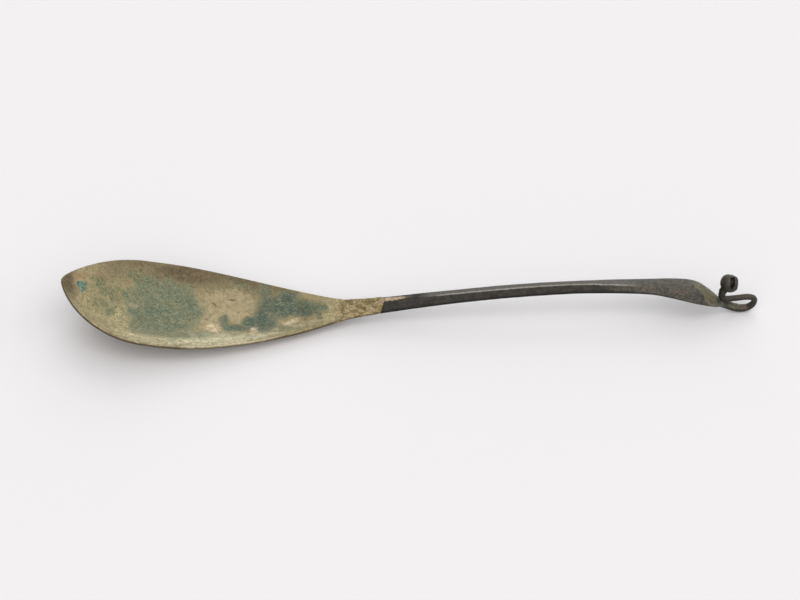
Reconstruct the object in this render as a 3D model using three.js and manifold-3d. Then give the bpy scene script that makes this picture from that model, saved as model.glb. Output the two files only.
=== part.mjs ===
// Long-handled metal table spoon with a leaf-shaped bowl and a looped, budded handle end.
// Millimetres. +X runs from the bowl's tip to the end of the loop, +Y is the far side, +Z is up.
// The spoon lies on the plane Z = 0, on the belly of its bowl and the underside of its loop.
import * as THREE from 'three';
import { mergeVertices } from 'three/addons/utils/BufferGeometryUtils.js';
import Module from 'manifold-3d';

const wasm = await Module();
wasm.setup();

// Space left between pieces that touch, and a length that is sure to pass right through a piece
const GAP = 0.3;
const CLEAR = 0.4;

// Bowl: hammered sheet whose rim sweeps up to the tip
const SHEET = 1.2;
const TIP = { x: -134.3, height: 23.7, lean: 1.8, leanLength: 3.3 };
const WIDEST_X = -103;
const HALF_WIDTH = 22.5;
const RIM_END = { x: -26, half: 4.8, height: 6.3 };
const DISH_RATIO = 0.32;
const DISH_POWER = 2.2;
const TIP_DISH_POWER = 0.8;
const DISH_FADE = { from: -46, to: -28 };
const TABLE_TOP = { length: 200, width: 100, thick: 10 };

// Neck: the bowl's solid tail, whose socket takes the tang of the stem
const NECK_END_X = -11.3;
const SLAB_SIDE = 1.9;
const SLAB_FLAT_SHARE = 0.9;
const TANG = { end: -21.5, half: [1.5, 1], rise: [0.8, 0.35], share: 0.42 };

// Neck, stem and leaf, one row a station:
// x, height of the underside, half width, height of the side, rise of the crown, half width of the flat top
const BAR = [
  [-26, 4.4, 4.8, 1.9, 0.1, 4.4],
  [-20, 5.5, 4.25, 1.5, 0.6, 3.4],
  [-16, 6, 3.9, 1.55, 1.3, 2.5],
  [-12, 6.4, 3.65, 1.85, 2, 1.4],
  [-8, 6.9, 3.5, 1.85, 2.1, 1.2],
  [3, 8.5, 3.25, 1.85, 2.05, 1.15],
  [18.5, 10.5, 2.95, 1.8, 1.85, 1.1],
  [34, 12.2, 2.9, 1.75, 1.75, 1.1],
  [49.5, 13.3, 2.8, 1.85, 1.75, 1.05],
  [65, 13.95, 2.75, 1.9, 1.6, 1.05],
  [80.5, 14.05, 3.3, 1.65, 1.15, 1.3],
  [92.5, 13.8, 4.1, 1.25, 0.75, 1.6],
  [100.5, 12.75, 5.3, 1.15, 0.6, 2],
  [108.2, 11.05, 6.45, 1, 0.7, 2.4],
  [112.4, 9.6, 6.3, 1, 0.7, 2.2],
  [116.4, 7.3, 4.9, 1, 0.8, 1.6],
  [119.9, 4.85, 2.85, 1.1, 0.8, 1],
];
const LEAF_END_X = 119.9;

// Solder tongue, let into the tops of the neck and the stem across their joint
const TONGUE = { from: -12.6, to: 0.6, half: 1.3, tipHalf: 0.5, sunk: 0.3, proud: 0.15 };

// Loop wire, in the upright plane y = 0: x, height of the centre, half width along Y, half height
const WIRE = [
  [121.95, 4.2, 2.25, 1.15],
  [123.6, 3.45, 1.85, 1.5],
  [126.2, 2.25, 1.6, 1.6],
  [129, 1.5, 1.5, 1.5],
  [131.7, 2, 1.4, 1.4],
  [133.6, 3.75, 1.25, 1.25],
  [134.1, 5.7, 1.15, 1.15],
  [133.35, 7.05, 1.2, 1.2],
  [131.5, 7.6, 1.2, 1.2],
  [128.4, 7.35, 1.2, 1.2],
  [125.4, 7, 1.2, 1.2],
  [123, 6.9, 1.2, 1.2],
  [121.4, 7.6, 1.25, 1.25],
  [121, 8.95, 1.35, 1.35],
  [121.1, 10.1, 1.4, 1.4],
  [121.3, 11.1, 1.55, 1.55],
  [121.6, 12.1, 1.3, 1.3],
  [121.8, 13.2, 1.1, 1.1],
];
const BEAD = { from: 120.2, to: 121.2, half: [2.5, 2.25], rise: [1, 1.1], height: [5.45, 4.75], swell: 1.05 };

// Bud on the end of the wire: a half-ball calyx and a round cap with a slit across its near side.
// Its sizes along the axis are measured from the face of the calyx.
const BUD = { x: 123.1, height: 15.4, radius: 3.4, length: 3.3, tilt: THREE.MathUtils.degToRad(6) };
const LIP = { width: 0.3, drop: 0.12 };
const CAP = { radius: 3.3, length: 3.45, round: 1.9, bevel: 0.15, dome: 0.1 };
const SPIGOT = { radius: 0.9, length: 1 };
const BORE_RADIUS = 1.65;
const SLIT = {
  floor: 2.2,
  width: [1.75, 1.3],
  from: THREE.MathUtils.degToRad(-62),
  to: THREE.MathUtils.degToRad(95),
};
const BRIDGE = { end: 1.25, outer: 3.25, to: THREE.MathUtils.degToRad(-2) };

// Number of steps in each curved form
const STEPS = { tip: 14, bowl: 17, neck: 5, across: 16, crown: 5, bar: 46, wire: 54, round: 12, turned: 24, slit: 10 };

const mix = THREE.MathUtils.lerp;
const smooth = THREE.MathUtils.smoothstep;
const steps = (from, to, count) => Array.from({ length: count + 1 }, (_, i) => mix(from, to, i / count));

// Height of a plane curve whose x only grows, at a given x
function onCurve(curve, x) {
  let low = 0;
  let high = 1;
  for (let i = 0; i < 40; i += 1) {
    const middle = (low + high) / 2;
    if (curve.getPoint(middle).x < x) {
      low = middle;
    } else {
      high = middle;
    }
  }
  return curve.getPoint(high).y;
}

// One column of a station table at a given x, smooth through every row
function onTable(rows, column, x) {
  let i = 1;
  while (i < rows.length - 2 && rows[i + 1][0] < x) {
    i += 1;
  }
  i = x < rows[1][0] ? 0 : i;
  const slope = (k) => {
    const before = rows[Math.max(k - 1, 0)];
    const after = rows[Math.min(k + 1, rows.length - 1)];
    return (after[column] - before[column]) / (after[0] - before[0]);
  };
  const span = rows[i + 1][0] - rows[i][0];
  const t = (x - rows[i][0]) / span;
  const start = rows[i][column] * (1 + 2 * t) * (1 - t) ** 2 + slope(i) * span * t * (1 - t) ** 2;
  const end = rows[i + 1][column] * t * t * (3 - 2 * t) - slope(i + 1) * span * t * t * (1 - t);
  return start + end;
}

// Closed mesh from a list of triangles of points, with its faces turned outwards
function closedMesh(triangles) {
  const keys = new Map();
  const points = [];
  const indexOf = (p) => {
    const key = [p.x, p.y, p.z].map((value) => Math.round(value * 1e5)).join();
    if (!keys.has(key)) {
      keys.set(key, points.length);
      points.push(p);
    }
    return keys.get(key);
  };
  const faces = triangles
    .map((triangle) => triangle.map(indexOf))
    .filter(([a, b, c]) => a !== b && b !== c && c !== a);
  const volume = faces.reduce((sum, [a, b, c]) => {
    const cross = new THREE.Vector3().crossVectors(points[b], points[c]);
    return sum + points[a].dot(cross);
  }, 0);
  const outward = volume > 0 ? faces : faces.map(([a, b, c]) => [a, c, b]);
  const geometry = new THREE.BufferGeometry();
  geometry.setAttribute('position', new THREE.Float32BufferAttribute(points.flatMap((p) => p.toArray()), 3));
  geometry.setIndex(outward.flat());
  return geometry;
}

// Solid skinned over a row of rings of equally many points, with flat ends
function loft(rings) {
  const triangles = [];
  const count = rings[0].length;
  for (let i = 0; i < rings.length - 1; i += 1) {
    for (let j = 0; j < count; j += 1) {
      const k = (j + 1) % count;
      triangles.push([rings[i][j], rings[i][k], rings[i + 1][k]]);
      triangles.push([rings[i][j], rings[i + 1][k], rings[i + 1][j]]);
    }
  }
  const ends = [[rings[0], 1], [rings[rings.length - 1], -1]];
  for (const [ring, turn] of ends) {
    const centre = ring.reduce((sum, p) => sum.add(p), new THREE.Vector3()).divideScalar(count);
    for (let j = 0; j < count; j += 1) {
      const pair = [ring[j], ring[(j + 1) % count]];
      triangles.push(turn > 0 ? [centre, pair[1], pair[0]] : [centre, pair[0], pair[1]]);
    }
  }
  return closedMesh(triangles);
}

// Solid turned from a profile of [radius, x] pairs about the X axis
function turned(profile) {
  const points = profile.map(([radius, x]) => new THREE.Vector2(radius, x));
  const lathe = new THREE.LatheGeometry(points, STEPS.turned);
  lathe.rotateZ(-Math.PI / 2);
  return merged(lathe);
}

// The same geometry with its shared points merged and no empty faces
function merged(geometry) {
  geometry.deleteAttribute('normal');
  geometry.deleteAttribute('uv');
  const shared = mergeVertices(geometry, 1e-4);
  const position = shared.getAttribute('position');
  const point = (i) => new THREE.Vector3().fromBufferAttribute(position, i);
  const triangles = [];
  for (let i = 0; i < shared.index.count; i += 3) {
    triangles.push([0, 1, 2].map((k) => point(shared.index.getX(i + k))));
  }
  return closedMesh(triangles);
}

function toSolid(geometry) {
  const vertProperties = new Float32Array(geometry.getAttribute('position').array);
  const triVerts = new Uint32Array(geometry.index.array);
  return new wasm.Manifold(new wasm.Mesh({ numProp: 3, vertProperties, triVerts }));
}

function fromSolid(solid) {
  const mesh = solid.getMesh();
  const geometry = new THREE.BufferGeometry();
  geometry.setAttribute('position', new THREE.BufferAttribute(new Float32Array(mesh.vertProperties), 3));
  geometry.setIndex(new THREE.BufferAttribute(new Uint32Array(mesh.triVerts), 1));
  return geometry;
}

function cut(geometry, ...cutters) {
  return fromSolid(cutters.reduce((solid, cutter) => solid.subtract(toSolid(cutter)), toSolid(geometry)));
}

// Outline of the bowl: half width in plan, and the height of its rim seen from the side
const noseOutline = new THREE.CubicBezierCurve(
  new THREE.Vector2(TIP.x, 0),
  new THREE.Vector2(TIP.x, 6.6),
  new THREE.Vector2(-121.9, HALF_WIDTH),
  new THREE.Vector2(WIDEST_X, HALF_WIDTH),
);
const flankOutline = new THREE.CubicBezierCurve(
  new THREE.Vector2(WIDEST_X, HALF_WIDTH),
  new THREE.Vector2(-92, HALF_WIDTH),
  new THREE.Vector2(-78.5, 24),
  new THREE.Vector2(RIM_END.x, RIM_END.half),
);
const rimLine = new THREE.CubicBezierCurve(
  new THREE.Vector2(TIP.x, TIP.height),
  new THREE.Vector2(-122.5, 14),
  new THREE.Vector2(-59.7, 1.6),
  new THREE.Vector2(RIM_END.x, RIM_END.height),
);

const rimHalf = (x) => onCurve(x < WIDEST_X ? noseOutline : flankOutline, x);
const rimHeight = (x) => onCurve(rimLine, x);
const rimCentre = (x) => TIP.lean * Math.exp((TIP.x - x) / TIP.leanLength);

function dishDepth(x) {
  const half = rimHalf(x);
  const nose = x < WIDEST_X ? (half / HALF_WIDTH) ** TIP_DISH_POWER : 1;
  return DISH_RATIO * half * nose * (1 - smooth(x, DISH_FADE.from, DISH_FADE.to));
}

// Height of the bowl's inner face at x and y
function innerHeight(x, y) {
  const across = Math.abs(y - rimCentre(x)) / rimHalf(x);
  return rimHeight(x) - dishDepth(x) * (1 - across ** DISH_POWER);
}

// The point one sheet below the inner face
function outerPoint(x, y) {
  const step = 0.02;
  const at = Math.max(x, TIP.x + step * 4);
  const here = x === at ? y : rimCentre(at);
  const slopeX = (innerHeight(at + step, here) - innerHeight(at - step, here)) / (2 * step);
  const slopeY = (innerHeight(at, here + step) - innerHeight(at, here - step)) / (2 * step);
  const down = new THREE.Vector3(slopeX, slopeY, -1).setLength(SHEET);
  return new THREE.Vector3(x, y, x === at ? innerHeight(x, y) : TIP.height).add(down);
}

const across = steps(-1, 1, STEPS.across);

function dishFaces(x) {
  const y = across.map((u) => rimCentre(x) + rimHalf(x) * u);
  const tip = x <= TIP.x;
  return {
    upper: y.map((value) => new THREE.Vector3(x, value, tip ? TIP.height : innerHeight(x, value))),
    lower: y.map((value) => outerPoint(x, value)),
  };
}

// Upper and lower face of a bar with upright sides and a crowned top
function barFaces(x, bottom, half, side, rise, flat) {
  const corner = STEPS.crown;
  const last = STEPS.across;
  const upper = across.map((_, j) => {
    const fromEdge = Math.min(j, last - j);
    const y = fromEdge < corner
      ? mix(half, flat, fromEdge / corner)
      : mix(flat, 0, (fromEdge - corner) / (last / 2 - corner));
    const lift = rise * Math.min(1, fromEdge / corner);
    return new THREE.Vector3(x, y * Math.sign(j - last / 2), bottom + side + lift);
  });
  const lower = across.map((u) => new THREE.Vector3(x, half * u, bottom));
  return { upper, lower };
}

const ringOf = (faces) => [...faces.upper, ...[...faces.lower].reverse()];
const barAt = (x) => barFaces(x, ...[1, 2, 3, 4, 5].map((column) => onTable(BAR, column, x)));

// Faces of the solid slab that the sheet thickens to, level with the rim
function slabAt(x) {
  const half = rimHalf(x);
  return barFaces(x, rimHeight(x) - SLAB_SIDE, half, SLAB_SIDE, 0, half * SLAB_FLAT_SHARE);
}

// Ring of the bowl, which thickens from sheet to a solid slab before the neck
function headRing(x) {
  if (x > RIM_END.x) {
    return ringOf(barAt(x));
  }
  const dish = ringOf(dishFaces(x));
  const slab = ringOf(slabAt(x));
  const share = smooth(x, DISH_FADE.from, RIM_END.x);
  return dish.map((point, j) => point.lerp(slab[j], share));
}

// Tapered pin from the stem into the neck, or its socket when grown by the gap
function tang(grow) {
  const section = (x) => {
    const t = (x - NECK_END_X) / (TANG.end - NECK_END_X);
    const [bottom, , side, rise] = [1, 2, 3, 4].map((column) => onTable(BAR, column, x));
    const centre = bottom + TANG.share * (side + rise);
    const half = mix(...TANG.half, t) + grow;
    const high = mix(...TANG.rise, t) + grow;
    return [[-half, -high], [half, -high], [half, high], [-half, high]].map(
      ([y, z]) => new THREE.Vector3(x, y, centre + z),
    );
  };
  return loft(steps(TANG.end - grow, NECK_END_X + 2 * CLEAR, 4).map(section));
}

// Tongue of solder, or its recess when grown by the gap
function tongue(grow) {
  const section = (x) => {
    const t = (x - TONGUE.from) / (TONGUE.to - TONGUE.from);
    const [bottom, , side, rise] = [1, 2, 3, 4].map((column) => onTable(BAR, column, x));
    const top = bottom + side + rise;
    const half = mix(TONGUE.half, TONGUE.tipHalf, t ** 3) + grow;
    const low = top - TONGUE.sunk - grow;
    const high = top + TONGUE.proud + grow * 2;
    return [[-half, low], [half, low], [half, high], [-half, high]].map(
      ([y, z]) => new THREE.Vector3(x, y, z),
    );
  };
  return loft(steps(TONGUE.from - grow, TONGUE.to + grow, 6).map(section));
}

function bowl() {
  const nose = steps(0, Math.PI / 2, STEPS.tip).map((angle) => mix(WIDEST_X, TIP.x, Math.cos(angle)));
  const flank = steps(WIDEST_X, RIM_END.x, STEPS.bowl).slice(1);
  const neck = steps(RIM_END.x, NECK_END_X, STEPS.neck).slice(1);
  const skin = loft([...nose, ...flank, ...neck].map(headRing));
  const tableTop = new THREE.BoxGeometry(TABLE_TOP.length, TABLE_TOP.width, TABLE_TOP.thick);
  tableTop.translate(WIDEST_X, 0, -TABLE_TOP.thick / 2);
  return cut(skin, merged(tableTop), tang(GAP), tongue(GAP));
}

function stem() {
  const bar = loft(steps(NECK_END_X + GAP, LEAF_END_X, STEPS.bar).map((x) => ringOf(barAt(x))));
  const forged = toSolid(bar).add(toSolid(tang(0)));
  return cut(fromSolid(forged), tongue(GAP));
}

// Rings of a wire that follows the rows of a table in the upright plane y = 0
function loopWire() {
  const path = new THREE.CatmullRomCurve3(WIRE.map(([x, z]) => new THREE.Vector3(x, 0, z)), false, 'centripetal');
  const sizes = new THREE.CatmullRomCurve3(WIRE.map(([, , half, rise]) => new THREE.Vector3(half, rise, 0)));
  const ring = (t) => {
    const centre = path.getPoint(t);
    const along = path.getTangent(t);
    const normal = new THREE.Vector3(-along.z, 0, along.x);
    const size = sizes.getPoint(t);
    return Array.from({ length: STEPS.round }, (_, j) => {
      const angle = (j / STEPS.round) * 2 * Math.PI;
      return centre.clone()
        .addScaledVector(normal, size.y * Math.cos(angle))
        .add(new THREE.Vector3(0, size.x * Math.sin(angle), 0));
    });
  };
  return loft(steps(0, 1, STEPS.wire).map(ring));
}

// Short bead of solder between the leaf's end and the root of the wire
function tipSolder() {
  const ring = (t) => {
    const swell = mix(1, BEAD.swell, 4 * t * (1 - t));
    const half = mix(...BEAD.half, t) * swell;
    const rise = mix(...BEAD.rise, t) * swell;
    return Array.from({ length: STEPS.round }, (_, j) => {
      const angle = (j / STEPS.round) * 2 * Math.PI;
      const y = half * Math.sin(angle);
      const z = mix(...BEAD.height, t) + rise * Math.cos(angle);
      return new THREE.Vector3(mix(BEAD.from, BEAD.to, t), y, z);
    });
  };
  return loft(steps(0, 1, 2).map(ring));
}

// Moves a piece of the bud from its own axis, the X axis, to its place on the wire
function onBud(geometry) {
  geometry.rotateY(BUD.tilt);
  geometry.translate(BUD.x, 0, BUD.height);
  return geometry;
}

// Part of a ring about the cap's axis, between two angles from the top towards the near side.
// Its width along the axis goes from the first to the second of two [start, end] pairs.
function ringPart([first, last], [inner, outer], [from, to]) {
  const section = (t) => {
    const angle = mix(from, to, t);
    const [start, end] = [mix(first[0], last[0], t), mix(first[1], last[1], t)];
    return [[start, inner], [end, inner], [end, outer], [start, outer]].map(([x, radius]) => (
      new THREE.Vector3(x, -radius * Math.sin(angle), radius * Math.cos(angle))
    ));
  };
  return loft(steps(0, 1, STEPS.slit).map(section));
}

// Straight bore for the end of the wire
function wireBore() {
  const [mouth, end] = [WIRE[WIRE.length - 3], WIRE[WIRE.length - 1]];
  const along = new THREE.Vector3(end[0] - mouth[0], 0, end[1] - mouth[1]);
  const length = along.length() + 2 * GAP;
  const bore = new THREE.CylinderGeometry(BORE_RADIUS, BORE_RADIUS, length, STEPS.turned);
  bore.translate(0, length / 2, 0);
  bore.applyQuaternion(new THREE.Quaternion().setFromUnitVectors(
    new THREE.Vector3(0, 1, 0),
    along.normalize(),
  ));
  bore.translate(mouth[0], 0, mouth[1]);
  return merged(bore);
}

// Half ball with a rolled lip, bored for the wire and for the cap's spigot
function budCalyx() {
  const ball = steps(0, Math.PI / 2, 8).map((angle) => [
    BUD.radius * Math.sin(angle),
    -LIP.width - (BUD.length - LIP.width) * Math.cos(angle),
  ]);
  const lip = [[BUD.radius, -LIP.drop], [BUD.radius - LIP.drop, 0], [0, 0]];
  const wide = SPIGOT.radius + GAP;
  const socket = turned([[0, -SPIGOT.length], [wide, -SPIGOT.length], [wide, CLEAR], [0, CLEAR]]);
  return cut(onBud(turned([...ball, ...lip])), wireBore(), onBud(socket));
}

// Cap with the spigot that centres it and the slit that opens against the calyx
function budCap() {
  const inner = CAP.radius - CAP.round;
  const corner = steps(0, Math.PI / 2, 5).map((angle) => [
    inner + CAP.round * Math.cos(angle),
    CAP.length - CAP.round * (1 - Math.sin(angle)),
  ]);
  const cap = turned([
    [0, GAP - SPIGOT.length],
    [SPIGOT.radius, GAP - SPIGOT.length],
    [SPIGOT.radius, GAP],
    [CAP.radius - CAP.bevel, GAP],
    [CAP.radius, GAP + CAP.bevel],
    ...corner,
    [0, CAP.length + CAP.dome],
  ]);
  const widths = SLIT.width.map((width) => [GAP - CLEAR, width]);
  const slit = ringPart(widths, [SLIT.floor, CAP.radius + CLEAR], [SLIT.from, SLIT.to]);
  return onBud(cut(cap, slit));
}

// Run of solder that bridges the slit at the top of the bud
function budSolder() {
  const width = [GAP, BRIDGE.end];
  const inner = SLIT.floor + GAP;
  const from = SLIT.from + GAP / inner;
  return onBud(ringPart([width, width], [inner, BRIDGE.outer], [from, BRIDGE.to]));
}

function metal(color, roughness, metalness) {
  return new THREE.MeshStandardMaterial({ color, roughness, metalness });
}

function piece(name, geometry, material) {
  const mesh = new THREE.Mesh(geometry, material);
  mesh.name = name;
  return mesh;
}

const patinatedBronze = metal(0x8c8467, 0.62, 0.55);
const darkBronze = metal(0x3b3835, 0.42, 0.75);
const paleSolder = metal(0xb7a98a, 0.6, 0.5);
const greySolder = metal(0x5c625c, 0.5, 0.6);

const spoon = new THREE.Group();
spoon.add(
  piece('bowl', bowl(), patinatedBronze),
  piece('neck_solder', tongue(0), paleSolder),
  piece('stem', stem(), darkBronze),
  piece('tip_solder', tipSolder(), greySolder),
  piece('loop_wire', loopWire(), darkBronze),
  piece('bud_calyx', budCalyx(), darkBronze),
  piece('bud_cap', budCap(), darkBronze),
  piece('bud_solder', budSolder(), greySolder),
);

export default spoon;
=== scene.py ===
"""Long-handled metal table spoon: leaf-shaped bowl, solid neck, tapering stem and a looped, budded end.

Every piece is worked out in millimetres in the spoon's own frame, where +X runs from the bowl's tip to the
loop, +Y is the far side and +Z is up, and is written to its mesh in metres.
"""
import math

import bpy
import numpy as np
from mathutils import Matrix, Vector, noise

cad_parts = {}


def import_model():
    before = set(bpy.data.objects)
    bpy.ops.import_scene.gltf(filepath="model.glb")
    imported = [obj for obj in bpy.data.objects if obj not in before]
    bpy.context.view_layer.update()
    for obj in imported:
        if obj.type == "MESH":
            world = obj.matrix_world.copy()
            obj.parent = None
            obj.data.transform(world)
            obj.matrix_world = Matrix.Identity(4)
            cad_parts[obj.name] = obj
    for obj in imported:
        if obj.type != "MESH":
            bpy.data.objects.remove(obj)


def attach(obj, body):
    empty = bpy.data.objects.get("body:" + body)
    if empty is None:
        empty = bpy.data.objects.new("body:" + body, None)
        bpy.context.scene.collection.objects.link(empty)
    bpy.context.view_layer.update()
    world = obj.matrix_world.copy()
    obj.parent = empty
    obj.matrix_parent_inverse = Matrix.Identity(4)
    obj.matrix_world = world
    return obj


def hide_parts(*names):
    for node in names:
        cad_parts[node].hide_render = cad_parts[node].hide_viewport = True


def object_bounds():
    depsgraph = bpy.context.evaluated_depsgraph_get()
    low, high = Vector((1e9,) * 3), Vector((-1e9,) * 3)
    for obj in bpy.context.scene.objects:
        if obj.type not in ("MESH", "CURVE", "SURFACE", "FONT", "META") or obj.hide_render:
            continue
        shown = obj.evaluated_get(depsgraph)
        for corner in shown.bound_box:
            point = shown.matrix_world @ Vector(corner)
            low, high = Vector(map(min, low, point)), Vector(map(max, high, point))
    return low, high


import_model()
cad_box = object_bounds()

MM = 0.001

# Bowl: hammered sheet whose rim sweeps up to the tip
SHEET = 1.2
TIP_X, TIP_HEIGHT, TIP_LEAN, LEAN_LENGTH = -134.3, 23.7, 1.8, 3.3
WIDEST_X, HALF_WIDTH = -103, 22.5
RIM_END_X, RIM_END_HALF, RIM_END_HEIGHT = -26, 4.8, 6.3
DISH_RATIO, DISH_POWER, TIP_DISH_POWER = 0.32, 2.2, 0.8
DISH_FADE_FROM, DISH_FADE_TO = -46, -28
SLAB_SIDE = 1.9
RIM_ROUND = 0.42
FAN_X, FAN_SHARE = -117, 0.55
NOSE_CURVE = [(TIP_X, 0), (TIP_X, 6.6), (-121.9, HALF_WIDTH), (WIDEST_X, HALF_WIDTH)]
FLANK_CURVE = [(WIDEST_X, HALF_WIDTH), (-92, HALF_WIDTH), (-78.5, 24), (RIM_END_X, RIM_END_HALF)]
RIM_CURVE = [(TIP_X, TIP_HEIGHT), (-122.5, 14), (-59.7, 1.6), (RIM_END_X, RIM_END_HEIGHT)]

# Neck crust, which overlaps the start of the stem
NECK_END_X = -11.15
NECK_LEAN, NECK_OVERLAP = 1.6, 0.4
CRUST_FROM_X = -28
CRUST_THICK = 0.12

# Neck, stem and leaf, one row a station:
# x, height of the underside, half width, height of the side, rise of the crown, half width of the flat top
BAR = [
    (-26, 4.4, 4.8, 1.9, 0.1, 4.4),
    (-20, 5.5, 4.25, 1.5, 0.6, 3.4),
    (-16, 6, 3.9, 1.55, 1.3, 2.5),
    (-12, 6.4, 3.65, 1.85, 2, 1.4),
    (-8, 6.9, 3.5, 1.85, 2.1, 1.2),
    (3, 8.5, 3.25, 1.85, 2.05, 1.15),
    (18.5, 10.5, 2.95, 1.8, 1.85, 1.1),
    (34, 12.2, 2.9, 1.75, 1.75, 1.1),
    (49.5, 13.3, 2.8, 1.85, 1.75, 1.05),
    (65, 13.95, 2.75, 1.9, 1.6, 1.05),
    (80.5, 14.05, 3.3, 1.65, 1.15, 1.3),
    (92.5, 13.8, 4.1, 1.25, 0.75, 1.6),
    (100.5, 12.75, 5.3, 1.15, 0.6, 2),
    (108.2, 11.05, 6.45, 1, 0.7, 2.4),
    (112.4, 9.6, 6.3, 1, 0.7, 2.2),
    (116.4, 7.3, 4.9, 1, 0.8, 1.6),
    (119.9, 4.85, 2.85, 1.1, 0.8, 1),
]
STEM_FROM_X, STEM_TO_X = -12.4, 119.9
LEAF_SOFT_FROM, LEAF_SOFT_TO = 72, 96
PIT_X, PIT_Y, PIT_RADIUS, PIT_DEPTH, PIT_LIP = 71.4, -1.5, 0.95, 0.28, 0.1

# Solder tongue over the joint of neck and stem
TONGUE_FROM, TONGUE_TO, TONGUE_HALF, TONGUE_TIP_HALF = -12.6, 0.6, 1.3, 0.5
TONGUE_SUNK, TONGUE_PROUD = 0.3, 0.15

# Loop wire, in the upright plane y = 0: x, height of the centre, half width along Y, half height
WIRE = [
    (121.6, 4.45, 2.3, 1.15),
    (123.6, 3.45, 1.85, 1.5),
    (126.2, 2.25, 1.6, 1.6),
    (129, 1.5, 1.5, 1.5),
    (131.7, 2, 1.4, 1.4),
    (133.6, 3.75, 1.25, 1.25),
    (134.1, 5.7, 1.15, 1.15),
    (133.35, 7.05, 1.2, 1.2),
    (131.5, 7.6, 1.2, 1.2),
    (128.4, 7.35, 1.2, 1.2),
    (125.4, 7, 1.2, 1.2),
    (123, 6.9, 1.2, 1.2),
    (121.4, 7.6, 1.25, 1.25),
    (121, 8.95, 1.35, 1.35),
    (121.1, 10.1, 1.4, 1.4),
    (121.3, 11.1, 1.6, 1.6),
    (121.6, 12.1, 1.5, 1.5),
    (121.8, 13.2, 1.2, 1.2),
]
BEAD = [
    (119.6, 5.85, 2.4, 0.85),
    (120.2, 5.45, 2.5, 1),
    (120.9, 4.95, 2.45, 1.1),
    (121.6, 4.45, 2.33, 1.18),
    (122.2, 4.05, 2.05, 1.12),
]

# Bud on the end of the wire: a half-ball calyx and a round cap with a slit across its near side.
# Sizes along the bud's axis are measured from the face of the calyx.
BUD_X, BUD_HEIGHT, BUD_RADIUS, BUD_LENGTH, BUD_TILT = 123.1, 15.4, 3.4, 3.3, math.radians(6)
LIP_WIDTH, LIP_DROP = 0.3, 0.14
CAP_RADIUS, CAP_LENGTH, CAP_ROUND, CAP_DOME = 3.3, 3.45, 1.9, 0.1
CAP_SLIP, CAP_NIP = 0.2, 0.8
SLIT_FLOOR, SLIT_WIDTH, SLIT_END_WIDTH = 2.2, 1.9, 1.4
SLIT_FROM, SLIT_TO, SLIT_EASE = -62, 95, 12
BRIDGE_FROM, BRIDGE_TO, BRIDGE_RADIUS, BRIDGE_RISE, BRIDGE_HALF, BRIDGE_X = -78, -4, 2.85, 0.52, 1.0, 0.85

# Camera: lens and aim
SENSOR_WIDTH, LENS = 36, 114.9
CAMERA_AZIMUTH, CAMERA_ELEVATION, CAMERA_DISTANCE = math.radians(-1.8), math.radians(45), 1000
AIM_RIGHT, AIM_UP = -4.62, 7.05

# Patches of patina on the inner face of the bowl, in plan:
# x, y, half length, half width, turn in degrees, strength
GREEN = [
    (-98, -1, 13, 11, 0, 1),
    (-105, 8, 6, 6.5, 0, 0.85),
    (-100, 14, 7, 3.6, 0, 0.7),
    (-88, 5, 6, 7.5, 0, 0.9),
    (-96, -9.8, 12, 5.6, 0, 0.68),
    (-93, 11, 8, 4.5, 0, 0.85),
    (-107, -7, 3.6, 5.5, 0, 0.8),
    (-82, 6, 2.2, 5, 0, 0.5),
    (-80, -9.5, 8, 4, 0, 0.55),
    (-70, -8, 7, 2.8, 0, 0.5),
    (-63.5, -10, 4, 3, 0, 0.4),
    (-50, -6.5, 3.4, 2.6, 0, 0.65),
    (-57, 12.5, 5, 2, -15, 0.5),
    (-38, 2, 5, 4.6, -10, 0.6),
]
SAGE = [
    (-97, -16.6, 18, 6, 0, 0.56),
    (-75, -14, 15, 6.5, 4, 1),
    (-58, -11, 10, 4, 12, 0.8),
    (-42, -6, 8, 2.5, 15, 0.45),
]
TEAL = [
    (-57.5, 1, 4.8, 9, 0, 1),
    (-50, 5.5, 7, 5.4, 0, 1),
    (-43.5, 4.5, 4.6, 3.8, -20, 0.9),
    (-39.5, 2, 2.4, 3.6, 0, 0.6),
    (-47, 10, 6.5, 1.7, -20, 0.45),
    (-63.5, -1.5, 3, 3.2, 0, 0.95),
    (-66, -4.6, 3, 1.8, 0, 0.7),
    (-73.4, 0.2, 2.6, 2.4, 0, 0.8),
    (-73, -2.6, 2.4, 2.6, 0, 0.8),
    (-70.5, -4.3, 4.2, 2.5, 0, 0.85),
    (-67.5, -4.8, 4.4, 2.3, 0, 0.9),
    (-88, 4, 3, 3, 0, 0.35),
    (-108, -2, 3, 6, 0, 0.35),
    (-100, 2, 4, 3, 0, 0.35),
]
BARE = [
    (-71.5, 7.5, 10, 6.4, 0, 1),
    (-68.5, -0.3, 2, 3, 0, 0.85),
    (-79.5, 0, 3, 2.6, 0, 0.75),
    (-77.5, -4.5, 3.4, 3.8, 0, 1),
    (-61.3, -7, 1.7, 3, 0, 0.85),
    (-46, -2.4, 4.4, 1.9, 14, 0.9),
    (-52, -11.2, 6.5, 2.2, 15, 0.7),
    (-40, -6, 4, 2.2, 20, 0.5),
    (-108.5, 2.8, 1.8, 1.6, 0, 0.6),
]
PALE = [
    (-77.5, -5, 2.6, 2.8, 0, 1),
    (-61.3, -7, 1.6, 2.8, 0, 0.75),
    (-46.5, -1.8, 3.4, 1.3, 14, 0.75),
    (-113, -14.5, 1.6, 2.2, 0, 0.4),
]
OCHRE = [
    (-114, -3, 3.6, 6, 0, 0.8),
    (-117.5, 4, 2.4, 3.6, 0, 0.7),
    (-111, -8, 3, 3.5, 0, 0.6),
    (-112.5, -14.5, 3.4, 3.6, 0, 0.7),
    (-104, -17.5, 6, 2.2, 0, 0.4),
    (-124, -6, 5, 7, 20, 0.45),
    (-30.5, 0, 3, 6, 0, 0.6),
    (-34, -3, 3, 2.5, 0, 0.45),
]
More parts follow.
